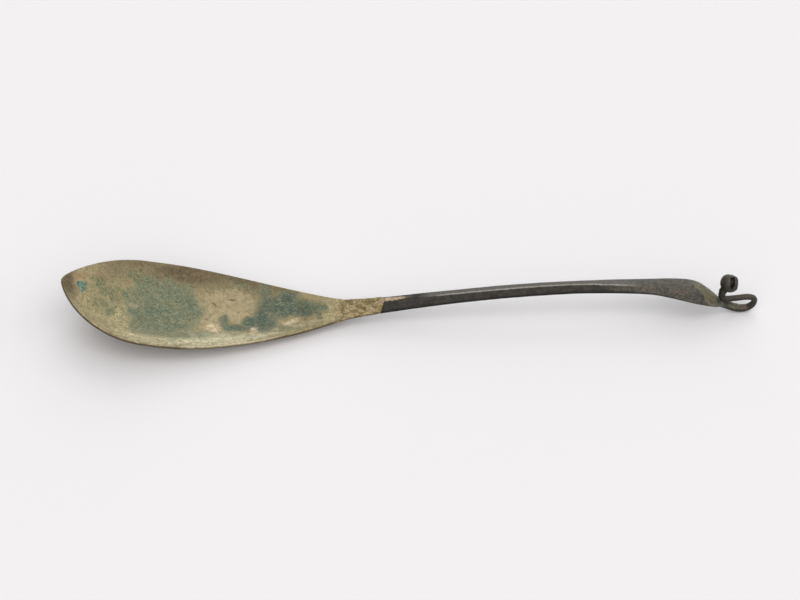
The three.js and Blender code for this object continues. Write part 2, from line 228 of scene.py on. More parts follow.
OLIVE = [
    (-118, 4, 6, 10, 0, 0.62),
    (-121, 9, 2.5, 3, 0, 0.75),
    (-117, -3.5, 1.4, 3, 0, 0.95),
    (-119.5, 0.5, 1.5, 2.5, 0, 0.8),
    (-112.5, 8, 3, 6, 0, 0.65),
    (-104, 16, 9, 3, 0, 0.45),
    (-66, 15, 10, 2.2, -18, 0.45),
    (-36, 0, 1.8, 6, 0, 0.65),
    (-29, 1, 2, 4, 0, 0.55),
    (-92, 15.5, 10, 2, 0, 0.4),
]
RUST = [
    (-127.5, 8.5, 3.6, 1.9, 20, 0.75),
    (-121, 12, 3.2, 2.2, 30, 0.55),
    (-112, 13, 3, 2, 0, 0.4),
]
# Umber patches at the tip and along the far rim: partly patina, partly painted shade
UMBER_AND_SHADE = [
    (-134.5, 1.8, 5.4, 9, 0, 0.85),
    (-87, 19.2, 14, 3.6, -3, 0.9),
    (-104, 21, 7, 1.4, 0, 0.5),
    (-66, 17.5, 12, 1.8, -19, 0.6),
    (-52, 13, 8, 1.2, -21, 0.4),
]
SPECK = [
    (-128.7, 3.9, 0.9, 1.5, 0, 1),
    (-127.6, 5, 1.7, 0.9, 0, 1),
    (-127.2, 3, 0.9, 1.9, 0, 1),
    (-127.6, 1.3, 0.5, 1.1, 0, 0.9),
    (-126.2, 5.8, 0.5, 0.9, 0, 0.9),
]
SCRATCH = [
    (-77, 7.6, 1.7, 0.4, -35, 1),
    (-70.4, 10, 1.5, 0.35, 0, 1),
    (-68, 4, 0.4, 0.4, 0, 0.8),
]

# Share of the edges' wander that small patches take
WANDER = {"teal": 0.4, "bare": 0.5, "pale": 0.4, "scratch": 0.4, "speck": 0.25}

# Windows over which the bowl's tones set in, among them painted shade on the far wall, the rim's edge and the
# neck's lower sides and a painted highlight along the near rim: along X, across as a share of the half width,
# or from the rim
FAR_SHADE_ACROSS, FAR_SHADE_FROM, FAR_SHADE_TO = (0.25, 1), (-130, -114), (-36, -56)
WEAR_HIGHLIGHT_RIM, WEAR_HIGHLIGHT_FROM, WEAR_HIGHLIGHT_TO = (0.8, 0.3), (-94, -84), (-46, -58)
LIP_SHADE_RIM, FLANK_RIM, BELLY_END = (1.5, 0), (4, 2), (-75, -50)
CRUST_EASE, CRUST_RAG, CRUST_BOW = (-5.5, 1), 0.5, 0.3
# Painted shade low on the neck's sides where the crust starts: how far back it sets in, and its share of the
# height
LOW_NECK_SHADE_EASE, LOW_NECK_SHADE_SHARE = 5, (0.36, 0.16)

# Relief of the bowl: depth, size of its swells and seed, all over, and rise and lumps on its patches
HAMMERED = [(0.07, 11, 8), (0.035, 5, 9)]
PATCH_RISE = {"green": (0.05, 0.045), "teal": (0.05, 0.05), "speck": (0.18, 0.1)}
OCHRE_RISE, OCHRE_LUMPS, UNDER_LUMPS = 0.06, 0.12, 0.03
CRUST_LUMPS, CRUST_GRAIN = 0.09, 0.04

# Windows over which the stem's tones set in, among them its painted sheen, painted highlight and painted
# shade, along X or as a share of the half flat
SHINE_FROM, SHINE_TO, CROWN_SHARE = (-2, 12), (98, 76), (1.25, 0.9)
ARRIS_FROM, ARRIS_SHARE, ARRIS_WIDTH = (2, 14), 0.86, 0.26
LEAF_FROM, SHADE_TO = (66, 92), (118, 100)

# Stains on the leaf, in plan, and the slanting line past which it turns olive
LEAF_BROWN = [
    (90, -2, 4, 1.6, 0, 0.7),
    (97, 1.5, 3, 2, 0, 0.5),
    (104, -2.5, 4, 1.8, 0, 0.75),
    (107, 2, 2.5, 2.5, 0, 0.55),
]
LEAF_GOLD = [
    (116.4, -0.2, 3, 1.3, -30, 0.95),
    (112.6, 1.8, 2.6, 1.1, -40, 0.6),
]
LEAF_LINE_X, LEAF_LINE_SLANT = 111.8, 0.6

# Red-brown spot low on the wire, and the olive stretch beside it
WIRE_RED_X, WIRE_RED_HEIGHT, WIRE_RED_REACH = 129.8, 2.2, (3, 1.2)
WIRE_OLIVE_FROM, WIRE_OLIVE_TO, WIRE_LOWER = (121, 124), (131, 127), (5.2, 3.6)

# Unevenness of the swept pieces: depth and size of their dents and of their pits
STEM_DENTS, STEM_PITS = (0.16, 7), (0.05, 1.3)
TONGUE_DENTS, TONGUE_PITS = (0.14, 1.6), (0.1, 0.7)
WIRE_DENTS, WIRE_PITS = (0.16, 3), (0.05, 0.8)
BEAD_DENTS, BEAD_PITS = (0.16, 1.8), (0.06, 0.7)

# Painted shade, partly crevice dirt, where the wire enters the calyx: its place from the middle of the
# calyx's face, and its reach
ROOT_PLACE, ROOT_REACH = (0.2, -1.6, -2.8), (3.4, 1.1)

# Ribs of the bowl's skin: points across the inner and the outer face, their crowding to the rim, and number
RIB_INNER, RIB_OUTER, RIB_CROWD, RIBS = 54, 34, 1.15, 330

# Lamps: name, elevation, azimuth from straight behind the spoon and width, in degrees, and strength
LAMPS = [
    ("front_softbox", 45, 180, 80, 1.73),
    ("back_softbox", 34, 10, 60, 1.24),
    ("right_softbox", 34, 95, 60, 0.84),
    ("overhead_softbox", 90, 0, 60, 0.57),
]
SKY_COLOUR, SKY_STRENGTH = (0.99, 0.985, 1.0, 1), 0.06
FLOOR_REACH, FLOOR_DROP = 30, 0.00002


def smooth(value, low, high):
    share = np.clip((value - low) / (high - low), 0, 1)
    return share * share * (3 - 2 * share)


def bezier_table(corners):
    t = np.linspace(0, 1, 3001)[:, None]
    a, b, c, d = np.array(corners, float)
    return a * (1 - t) ** 3 + 3 * b * t * (1 - t) ** 2 + 3 * c * t * t * (1 - t) + d * t ** 3


OUTLINE_TABLE = np.vstack([bezier_table(NOSE_CURVE), bezier_table(FLANK_CURVE)[1:]])
RIM_TABLE = bezier_table(RIM_CURVE)


def rim_half(x):
    return np.interp(x, OUTLINE_TABLE[:, 0], OUTLINE_TABLE[:, 1])


def rim_height(x):
    return np.interp(x, RIM_TABLE[:, 0], RIM_TABLE[:, 1])


def rim_centre(x):
    return TIP_LEAN * np.exp((TIP_X - x) / LEAN_LENGTH)


def on_table(rows, column, x):
    """One column of a station table at x, smooth through every row."""
    at = [row[0] for row in rows]
    value = [row[column] for row in rows]
    i = min(max(int(np.searchsorted(at, x)) - 1, 0), len(rows) - 2)

    def slope(k):
        before, after = max(k - 1, 0), min(k + 1, len(rows) - 1)
        return (value[after] - value[before]) / (at[after] - at[before])

    span = at[i + 1] - at[i]
    t = (x - at[i]) / span
    start = value[i] * (1 + 2 * t) * (1 - t) ** 2 + slope(i) * span * t * (1 - t) ** 2
    return start + value[i + 1] * t * t * (3 - 2 * t) - slope(i + 1) * span * t * t * (1 - t)


def bar_at(x):
    """Height of the underside, half width, side, rise and half flat of the bar at x."""
    return [on_table(BAR, column, x) for column in range(1, 6)]


def neck_slant(points):
    """How far the neck's end leans back at each point: its top reaches further than its underside."""
    bottom, _, side, rise, _ = bar_at(NECK_END_X)
    return NECK_LEAN * (np.clip((points[:, 2] - bottom) / (side + rise), 0, 1) - 0.85)


def ripple(points, size, seed, octaves=1):
    """Smooth noise between about -1 and 1 at each point, with bumps of a given size in millimetres."""
    shift = Vector((seed * 17.3, seed * 5.1, seed * 9.7))
    total = np.zeros(len(points))
    for octave in range(octaves):
        scale = 2 ** octave / size
        total += [noise.noise(Vector(p) * scale + shift) / 2 ** octave for p in points]
    return total


def in_patches(points, patches, warp):
    """Strength of the strongest patch at each point, with edges that wander by warp."""
    total = np.zeros(len(points))
    for x, y, long, wide, turn, strength in patches:
        angle = math.radians(turn)
        dx = points[:, 0] + warp[:, 0] - x
        dy = points[:, 1] + warp[:, 1] - y
        along = (dx * math.cos(angle) + dy * math.sin(angle)) / long
        across = (dy * math.cos(angle) - dx * math.sin(angle)) / wide
        total = np.maximum(total, strength * smooth(np.hypot(along, across), 1.6, 0.35))
    return total


def new_mesh(name, points, faces):
    """Closed mesh in metres with its faces turned outwards."""
    mesh = bpy.data.meshes.new(name)
    mesh.from_pydata((np.array(points) * MM).tolist(), [], faces)
    mesh.validate()
    turn_outwards(mesh)
    return mesh


def turn_outwards(mesh):
    mesh.calc_loop_triangles()
    place = positions(mesh)
    corners = np.zeros(len(mesh.loop_triangles) * 3, int)
    mesh.loop_triangles.foreach_get("vertices", corners)
    a, b, c = (place[corners[k::3]] for k in range(3))
    if np.einsum("ij,ij->i", a, np.cross(b, c)).sum() < 0:
        mesh.flip_normals()
    mesh.update()


def positions(mesh):
    """Places of a mesh's points, in millimetres."""
    flat = np.zeros(len(mesh.vertices) * 3, np.float32)
    mesh.vertices.foreach_get("co", flat)
    return flat.reshape(-1, 3).astype(float) / MM


def outward(mesh):
    """Unit normals of a mesh's points."""
    flat = np.zeros(len(mesh.vertices) * 3, np.float32)
    mesh.vertex_normals.foreach_get("vector", flat)
    return flat.reshape(-1, 3).astype(float)


def place(mesh, points):
    """Moves a mesh's points, in millimetres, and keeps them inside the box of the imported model."""
    low, high = (np.array(corner) / MM for corner in cad_box)
    inside = np.clip(points, low, high) * MM
    mesh.vertices.foreach_set("co", inside.astype(np.float32).ravel())
    mesh.update()


def record(mesh, name, values):
    mesh.attributes.new(name, "FLOAT", "POINT")
    mesh.attributes[name].data.foreach_set("value", np.asarray(values, np.float32))


def add_piece(mesh, node, material):
    """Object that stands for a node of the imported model, riding on the spoon's one body."""
    piece = bpy.data.objects.new(node + "_piece", mesh)
    bpy.context.scene.collection.objects.link(piece)
    mesh.materials.clear()
    mesh.materials.append(material)
    mesh.shade_smooth()
    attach(piece, "root")
    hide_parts(node)
    return piece


class Socket:
    """Output of a node. Arithmetic on it adds Math nodes to the same tree."""

    def __init__(self, nodes, link):
        self.nodes = nodes
        self.link = link

    def math(self, operation, *terms):
        return self.nodes.add("ShaderNodeMath", {"operation": operation}, dict(enumerate(terms)))

    def __add__(self, other):
        return self.math("ADD", self, other)

    def __sub__(self, other):
        return self.math("SUBTRACT", self, other)

    def __rsub__(self, other):
        return self.math("SUBTRACT", other, self)

    def __mul__(self, other):
        return self.math("MULTIPLY", self, other)

    def __truediv__(self, other):
        return self.math("DIVIDE", self, other)

    def __rtruediv__(self, other):
        return self.math("DIVIDE", other, self)

    __radd__ = __add__
    __rmul__ = __mul__


class Nodes:
    """Adds nodes to one tree."""

    def __init__(self, tree):
        self.tree = tree

    def add(self, kind, settings=None, inputs=None, output=0):
        """Adds a node, sets it up, feeds its sockets and returns one of its outputs."""
        node = self.tree.nodes.new(kind)
        for name, value in (settings or {}).items():
            setattr(node, name, value)
        for key, value in (inputs or {}).items():
            if isinstance(value, Socket):
                self.tree.links.new(value.link, node.inputs[key])
            else:
                node.inputs[key].default_value = value
        return Socket(self, node.outputs[output]) if len(node.outputs) else node


def paint(red, green, blue):
    """Linear colour of a paint named by its 0 to 255 display values."""
    def linear(value):
        share = value / 255
        return share / 12.92 if share <= 0.04045 else ((share + 0.055) / 1.055) ** 2.4
    return (linear(red), linear(green), linear(blue), 1)


class Finish(Nodes):
    """Material of one surface, with its patterns in object coordinates."""

    def __init__(self, name):
        self.material = bpy.data.materials.new(name)
        self.material.use_nodes = True
        super().__init__(self.material.node_tree)
        self.shader = self.tree.nodes["Principled BSDF"]
        self.position = self.add("ShaderNodeTexCoord", output="Object")

    def cloud(self, size, detail=3, roughness=0.55):
        """Noise from 0 to 1 around a half, with blots of a given size in millimetres."""
        inputs = {"Vector": self.position, "Scale": 1 / (size * MM), "Detail": detail, "Roughness": roughness}
        return self.add("ShaderNodeTexNoise", None, inputs)

    def dots(self, size, share):
        """Small round dots, 1 at their middle, on a share of cells of a given size in millimetres."""
        inputs = {"Vector": self.position, "Scale": 1 / (size * MM)}
        distance = self.add("ShaderNodeTexVoronoi", None, inputs)
        colour = self.add("ShaderNodeTexVoronoi", None, inputs, "Color")
        pick = self.add("ShaderNodeSeparateColor", None, {"Color": colour}, "Red")
        return self.between(distance, 0.3, 0.14) * self.between(pick, 1 - share, 1.02 - share)

    def between(self, value, low, high):
        """0 below low, 1 above high and smooth between."""
        settings = {"interpolation_type": "SMOOTHSTEP"}
        return self.add("ShaderNodeMapRange", settings, {"Value": value, "From Min": low, "From Max": high})

    def layer(self, name):
        """Value painted on the mesh."""
        return self.add("ShaderNodeAttribute", {"attribute_name": name}, output="Fac")

    def stain(self, name, *breakers, soft=0.14):
        """Painted patch whose edge is broken up by pairs of a noise and its amount."""
        painted = self.layer(name)
        value = painted
        near = self.between(painted, 0, 0.25)
        for field, amount in breakers:
            value = value + (field - 0.5) * near * amount
        return self.between(value, 0.5 - soft, 0.5 + soft)

    def blend(self, factor, under, over):
        """Colour that goes from under to over with the factor."""
        return self.add("ShaderNodeMix", {"data_type": "RGBA"}, {0: factor, 6: under, 7: over}, 2)

    def shade(self, colour, amount):
        """Colour made darker or lighter by a factor."""
        return self.add("ShaderNodeVectorMath", {"operation": "SCALE"}, {0: colour, "Scale": amount})

    def finish(self, colour, roughness, metallic, relief, depth, specular):
        """Feeds the surface shader. Relief is a height from 0 to 1 over a depth in millimetres."""
        bump = {"Strength": 1.0, "Distance": depth * MM, "Height": relief}
        feeds = {"Base Color": colour, "Roughness": roughness, "Metallic": metallic}
        feeds["Normal"] = self.add("ShaderNodeBump", None, bump)
        for name, value in feeds.items():
            if isinstance(value, Socket):
                self.tree.links.new(value.link, self.shader.inputs[name])
            else:
                self.shader.inputs[name].default_value = value
        self.shader.inputs["Specular IOR Level"].default_value = specular
        return self.material


def patinated_bronze():
    """Bowl and neck: buff bronze under sea-green, teal and ochre patina."""
    f = Finish("patinated_bronze")
    broad = f.cloud(13, 3)
    cloud = f.cloud(4.5, 4, 0.6)
    mottle = f.cloud(2, 4, 0.6)
    fleck = f.cloud(0.95, 4, 0.72)
    grit = f.cloud(0.6, 3, 0.75)
    ragged = [(cloud, 0.8), (mottle, 1.3), (fleck, 0.6)]
    colour = f.blend(f.between(mottle, 0.38, 0.62), paint(150, 138, 101), paint(174, 161, 123))
    colour = f.blend(f.between(cloud, 0.5, 0.66) * 0.5, colour, paint(138, 127, 95))
    sage = f.blend(f.between(mottle, 0.4, 0.6), paint(190, 184, 148), paint(220, 211, 178))
    washed = [(cloud, 1.2), (mottle, 1.2), (fleck, 0.6)]
    colour = f.blend(f.stain("sage", *washed, soft=0.4) * 0.95, colour, sage)
    # far: painted shade, partly brown patina, darkening the far wall towards its rim
    colour = f.blend(f.stain("far", (mottle, 0.6), soft=0.5) * 0.75, colour, paint(112, 100, 72))
    ochre = f.blend(f.between(fleck, 0.4, 0.6), paint(150, 138, 98), paint(184, 172, 130))
    colour = f.blend(f.stain("ochre", *ragged, soft=0.3) * 0.8, colour, ochre)
    olive = f.blend(f.between(fleck, 0.4, 0.6), paint(92, 98, 70), paint(126, 128, 94))
    clumps = [(cloud, 1.4), (mottle, 2.2), (fleck, 0.8)]
    colour = f.blend(f.stain("olive", *clumps, soft=0.3) * 0.8, colour, olive)
    # Umber: partly patina, partly painted shade at the tip and along the far rim
    umber = f.blend(f.between(mottle, 0.4, 0.6), paint(88, 74, 50), paint(110, 95, 67))
    colour = f.blend(f.stain("umber", (mottle, 0.8), (cloud, 0.6), soft=0.5) * 0.95, colour, umber)
    sea = f.blend(f.between(mottle, 0.38, 0.64), paint(94, 106, 83), paint(124, 125, 98))
    sea = f.blend(f.between(fleck, 0.48, 0.37) * 0.55, sea, paint(72, 97, 80))
    sea = f.blend(f.between(cloud, 0.45, 0.6) * 0.5, sea, paint(104, 120, 98))
    broken = [(mottle, 1.4), (cloud, 0.9), (fleck, 0.6)]
    colour = f.blend(f.stain("green", *broken, soft=0.4) * 0.92, colour, sea)
    bare = f.blend(f.between(mottle, 0.4, 0.62), paint(160, 146, 112), paint(176, 160, 126))
    colour = f.blend(f.stain("bare", *ragged, soft=0.35) * 0.85, colour, bare)
    teal = f.blend(f.between(mottle, 0.4, 0.62), paint(58, 86, 77), paint(110, 118, 96))
    teal = f.blend(f.between(cloud, 0.45, 0.6) * 0.5, teal, paint(72, 92, 84))
    teal = f.blend(f.between(fleck, 0.53, 0.66) * 0.65, teal, paint(128, 126, 102))
    frayed = [(cloud, 0.8), (mottle, 1.6), (fleck, 1.8), (grit, 0.8)]
    colour = f.blend(f.stain("teal", *frayed, soft=0.3) * 0.9, colour, teal)
    cream = f.blend(f.between(mottle, 0.42, 0.58), paint(186, 168, 136), paint(218, 200, 168))
    colour = f.blend(f.stain("pale", *ragged, soft=0.45) * 0.85, colour, cream)
    colour = f.blend(f.stain("rust", (mottle, 1.2), soft=0.4) * 0.4, colour, paint(154, 112, 80))
    verdigris = f.blend(f.between(fleck, 0.42, 0.58), paint(58, 100, 90), paint(110, 142, 122))
    colour = f.blend(f.stain("speck", (fleck, 1.6), soft=0.25) * 0.9, colour, verdigris)
    colour = f.blend(f.stain("scratch", (fleck, 0.8), soft=0.4) * 0.8, colour, paint(96, 82, 58))
    under = f.blend(f.between(mottle, 0.38, 0.62), paint(112, 100, 74), paint(142, 128, 96))
    under = f.blend(f.between(cloud, 0.5, 0.64) * 0.7, under, paint(86, 98, 80))
    under = f.blend(f.between(broad, 0.52, 0.62) * 0.6, under, paint(84, 72, 54))
    colour = f.blend(f.layer("inside"), under, colour)
    colour = f.blend(f.layer("flank") * 0.8, colour, paint(146, 118, 82))
    # lip: painted shade, partly dark patina, on the rim's edge and the outer face just below it
    colour = f.blend(f.layer("lip"), colour, paint(82, 68, 46))
    crust = f.blend(f.between(mottle, 0.4, 0.58), paint(124, 107, 66), paint(174, 155, 116))
    crust = f.blend(f.between(fleck, 0.48, 0.36) * 0.8, crust, paint(98, 84, 48))
    colour = f.blend(f.stain("crust", *clumps, soft=0.3), colour, crust)
    # Painted shade low on the neck's sides
    colour = f.blend(f.layer("low_neck_shade"), colour, paint(78, 62, 40))
    # Painted highlight, partly wear: a pale line just inside the near rim
    colour = f.blend(f.stain("wear_and_highlight", (mottle, 0.4), soft=0.4) * 0.75, colour, paint(206, 194, 158))
    colour = f.blend(f.dots(3.2, 0.16) * 0.5, colour, paint(84, 76, 56))
    speckle = (fleck - 0.5) * 0.8 + (grit - 0.5) * 0.9
    coarse = f.layer("green") * 0.9 + f.layer("teal") * 0.7 - f.layer("bare") * 0.9
    colour = f.shade(colour, 1 + speckle * (coarse + 1.55))
    rough = 0.52 + f.layer("green") * 0.14 + f.layer("teal") * 0.1 + (fleck - 0.5) * 0.3
    metal = 0.3 - f.layer("green") * 0.25
    relief = fleck * 0.6 + grit * 0.4
    return f.finish(colour, rough, metal, relief, 0.07, 0.4)


def dark_bronze(name):
    """Stem, loop and bud: near-black patina, paler on top through rubbing and a painted highlight, darker
    underneath by painted shade, with brown and olive stains.
    """
    f = Finish(name)
    cloud = f.cloud(6, 4, 0.6)
    mottle = f.cloud(1.8, 4, 0.65)
    fleck = f.cloud(0.8, 4, 0.7)
    grit = f.cloud(0.55, 3, 0.75)
    colour = f.blend(f.between(mottle, 0.38, 0.62), paint(44, 41, 37), paint(60, 56, 50))
    colour = f.blend(f.between(cloud, 0.5, 0.66) * 0.4, colour, paint(68, 61, 52))
    # upper: painted light, paler where the surface faces up
    colour = f.blend(f.stain("upper", (mottle, 0.6), soft=0.5) * 0.6, colour, paint(88, 82, 72))
    grey = f.blend(f.between(mottle, 0.4, 0.62), paint(72, 70, 63), paint(94, 89, 80))
    colour = f.blend(f.stain("leaf", (mottle, 0.8), (cloud, 0.6), soft=0.5) * 0.8, colour, grey)
    brown = f.blend(f.between(fleck, 0.42, 0.6), paint(90, 78, 67), paint(112, 95, 80))
    colour = f.blend(f.stain("brown", (mottle, 1.2), (fleck, 0.5), soft=0.45) * 0.5, colour, brown)
    olive = f.blend(f.between(mottle, 0.42, 0.6), paint(104, 103, 84), paint(130, 124, 102))
    colour = f.blend(f.stain("olive", (mottle, 0.7), (fleck, 0.5), soft=0.4) * 0.85, colour, olive)
    gilt = f.stain("gold", (mottle, 1.0), (fleck, 0.5), soft=0.4)
    colour = f.blend(gilt * 0.6, colour, paint(118, 107, 70))
    # crown: rubbed paler top, partly painted sheen
    colour = f.blend(f.stain("crown", (mottle, 0.5), soft=0.4) * 0.75, colour, paint(104, 101, 95))
    # arris: painted highlight, partly rubbed metal, along the near edge of the top
    arris = f.stain("arris", (mottle, 0.5), (fleck, 0.4), soft=0.45)
    colour = f.blend(arris * 0.8, colour, paint(158, 154, 146))
    # under: painted shade, darker where the surface faces down and low on the stem's sides
    colour = f.shade(colour, 1 - f.layer("under") * 0.75)
    # hollow: painted shade in the cap's slit, and partly crevice dirt where the wire enters the calyx
    colour = f.shade(colour, 1 - f.layer("hollow") * 0.87)
    speckle = (fleck - 0.5) * 1.3 + (grit - 0.5) * 1.3
    colour = f.shade(colour, 1 + speckle * (f.layer("leaf") * 0.5 + 1))
    rough = 0.38 + (mottle - 0.5) * 0.25 + (fleck - 0.5) * 0.2
    metal = 0.15 + arris * 0.4
    relief = fleck * 0.6 + grit * 0.4
    return f.finish(colour, rough, metal, relief, 0.05, 0.22)


def pale_solder():
    """Cream solder, rubbed through to the dark metal along its edges and towards its end."""
    f = Finish("pale_solder")
    mottle = f.cloud(1.4, 4, 0.6)
    grain = f.cloud(0.5, 3, 0.6)
    colour = f.blend(f.between(mottle, 0.4, 0.6), paint(150, 132, 104), paint(196, 178, 146))
    colour = f.blend(f.between(grain, 0.58, 0.7) * 0.7, colour, paint(112, 94, 72))
    colour = f.blend(f.stain("thin", (mottle, 1.4), (grain, 1.2), soft=0.2) * 0.95, colour, paint(68, 62, 54))
    rough = 0.6 + (grain - 0.5) * 0.3
    return f.finish(colour, rough, 0.2, grain, 0.08, 0.4)


def grey_solder(name, dark, light):
    f = Finish(name)
    mottle = f.cloud(1.4, 4, 0.6)
    grain = f.cloud(0.5, 3, 0.6)
    colour = f.blend(f.between(mottle, 0.4, 0.6), dark, light)
    rough = 0.5 + (grain - 0.5) * 0.3
    return f.finish(colour, rough, 0.35, grain, 0.06, 0.4)


def spine_x(x):
    """Where the ribs of the bowl's skin meet the middle line; they fan out round the tip."""
    return x if x >= FAN_X else FAN_X + (x - FAN_X) * FAN_SHARE


def dish_depth(x):
    half = rim_half(x)
    nose = np.where(x < WIDEST_X, (half / HALF_WIDTH) ** TIP_DISH_POWER, 1)
    return DISH_RATIO * half * nose * (1 - smooth(x, DISH_FADE_FROM, DISH_FADE_TO))


def dish_height(x, y):
    across = np.abs(y - rim_centre(x)) / np.maximum(rim_half(x), 1e-6)
    return rim_height(x) - dish_depth(x) * (1 - np.minimum(across, 1) ** DISH_POWER)


def dish_under(x, y):
    """The point one sheet below the inner face."""
    step = 0.02
    at = np.maximum(x, TIP_X + step * 4)
    here = np.where(x == at, y, rim_centre(at))
    slope_x = (dish_height(at + step, here) - dish_height(at - step, here)) / (2 * step)
    slope_y = (dish_height(at, here + step) - dish_height(at, here - step)) / (2 * step)
    down = np.stack([slope_x, slope_y, -np.ones_like(x)], axis=1)
    down *= SHEET / np.linalg.norm(down, axis=1, keepdims=True)
    top = np.where(x == at, dish_height(x, y), TIP_HEIGHT)
    return np.stack([x, y, top], axis=1) + down


def bar_faces(x, y):
    """Upper and lower points of the neck at one x and several y."""
    bottom, half, side, rise, flat = bar_at(x)
    share = np.clip((half - np.abs(y)) / (half - flat), 0, 1)
    crown = share - 0.16 * np.exp(-((share - 1) / 0.22) ** 2)
    top = bottom + side + rise * crown
    upper = np.stack([np.full_like(y, x), y, top], axis=1)
    lower = np.stack([np.full_like(y, x), y, np.full_like(y, bottom)], axis=1)
    return upper, lower


def bowl_faces(x, y):
    """Upper and lower points of the bowl and neck at paired x and y."""
    if x[0] > RIM_END_X and x[0] == x[-1]:
        return bar_faces(x[0], y)
    share = smooth(x, DISH_FADE_FROM, RIM_END_X)[:, None]
    height = rim_height(x)
    upper = np.stack([x, y, dish_height(x, y)], axis=1)
    flat = np.stack([x, y, height], axis=1)
    slab = np.stack([x, y, height - SLAB_SIDE], axis=1)
    return upper * (1 - share) + flat * share, dish_under(x, y) * (1 - share) + slab * share


def bowl_rib(x, side):
    """Points of one rib of the skin: middle of the inner face, rim, and back to the middle below.

    Returns the points, how much each is on the inside, and its distance from the rim.
    """
    rim_y = rim_centre(x) + side * rim_half(x) if x < RIM_END_X else side * bar_at(x)[1]
    rim = np.array([x, rim_y])
    spine = np.array([spine_x(x), rim_centre(spine_x(x))])
    reach = np.linalg.norm(spine - rim)
    first = RIM_ROUND / reach

    def at(shares):
        plan = rim + (spine - rim) * np.asarray(shares, float)[:, None]
        return bowl_faces(plan[:, 0], plan[:, 1])

    upper_shares = first + (1 - first) * np.linspace(0, 1, RIB_INNER) ** RIB_CROWD
    lower_shares = first + (1 - first) * np.linspace(0, 1, RIB_OUTER) ** RIB_CROWD
    upper, lower = at(upper_shares)[0], at(lower_shares)[1]
    (start, inner), (end, outer) = at([0, first])[0], at([0, first])[1]
    thick = np.linalg.norm(end - start)
    radius = min(RIM_ROUND, 0.42 * thick)
    down = (end - start) / thick
    inward_top = (inner - start) / np.linalg.norm(inner - start)
    inward_low = (outer - end) / np.linalg.norm(outer - end)

    def rounded(corner, first_way, second_way, degrees):
        turn = np.radians(degrees)[:, None]
        return corner + radius * (first_way * (1 - np.sin(turn)) + second_way * (1 - np.cos(turn)))

    top_edge = rounded(start, inward_top, down, [22.5, 45, 67.5, 90])
    low_edge = rounded(end, -down, inward_low, [0, 22.5, 45, 67.5])
    count = len(top_edge) + len(low_edge)
    points = np.vstack([upper[::-1], top_edge, low_edge, lower])
    inside = np.concatenate([np.ones(RIB_INNER), np.linspace(0.9, 0.1, count), np.zeros(RIB_OUTER)])
    margin = np.concatenate([upper_shares[::-1] * reach, np.zeros(count), lower_shares * reach])
    return points, inside, margin


def bowl_stations():
    """Places along X of the ribs, from the tip to the neck, evenly spread along the rim."""
    x = np.unique(np.concatenate([OUTLINE_TABLE[:, 0], np.linspace(RIM_END_X, NECK_END_X, 200)]))
    half = np.where(x < RIM_END_X, rim_half(x), RIM_END_HALF)
    run = np.concatenate([[0], np.cumsum(np.hypot(np.diff(x), np.diff(half)))])
    return np.interp(np.linspace(0, run[-1], RIBS), run, x)


def bowl_skin():
    """Closed mesh of the bowl and neck, with its inside and rim distance recorded point by point."""
    points, inside, margin, faces = [], [], [], []
    count = len(bowl_rib(-60.0, 1)[0])

    def keep(rib):
        start = len(points)
        points.extend(rib[0])
        inside.extend(rib[1])
        margin.extend(rib[2])
        return start

    stations = bowl_stations()
    rows = []
    for number, x in enumerate(stations):
        near = bowl_rib(x, -1)
        first = keep(near)
        near_row = list(range(first, first + count))
        if number == 0:
            rows.append((near_row, near_row))
            continue
        far = bowl_rib(x, 1)
        first = keep([part[1:-1] for part in far])
        far_row = [near_row[0], *range(first, first + count - 2), near_row[-1]]
        rows.append((near_row, far_row))
    for (near_a, far_a), (near_b, far_b) in zip(rows, rows[1:]):
        for n in range(count - 1):
            faces.append((near_a[n], near_b[n], near_b[n + 1], near_a[n + 1]))
            faces.append((far_a[n], far_a[n + 1], far_b[n + 1], far_b[n]))
    near, far = rows[-1]
    ring = near + far[-2:0:-1]
    middle = np.mean([points[k] for k in ring], axis=0)
    hub = len(points)
    points.append(middle)
    inside.append(0)
    margin.append(0)
    for k, n in zip(ring, ring[1:] + ring[:1]):
        faces.append((k, n, hub))
    mesh = new_mesh("bowl", points, faces)
    return mesh, np.array(inside), np.array(margin)


def height_share(points):
    """How high each point is between the lowest and the highest within its own millimetre of the length."""
    cell = np.floor(points[:, 0]).astype(int) - int(math.floor(TIP_X)) + 1
    low, high = np.full(cell.max() + 1, np.inf), np.full(cell.max() + 1, -np.inf)
    np.minimum.at(low, cell, points[:, 2])
    np.maximum.at(high, cell, points[:, 2])
    return (points[:, 2] - low[cell]) / (high - low)[cell]


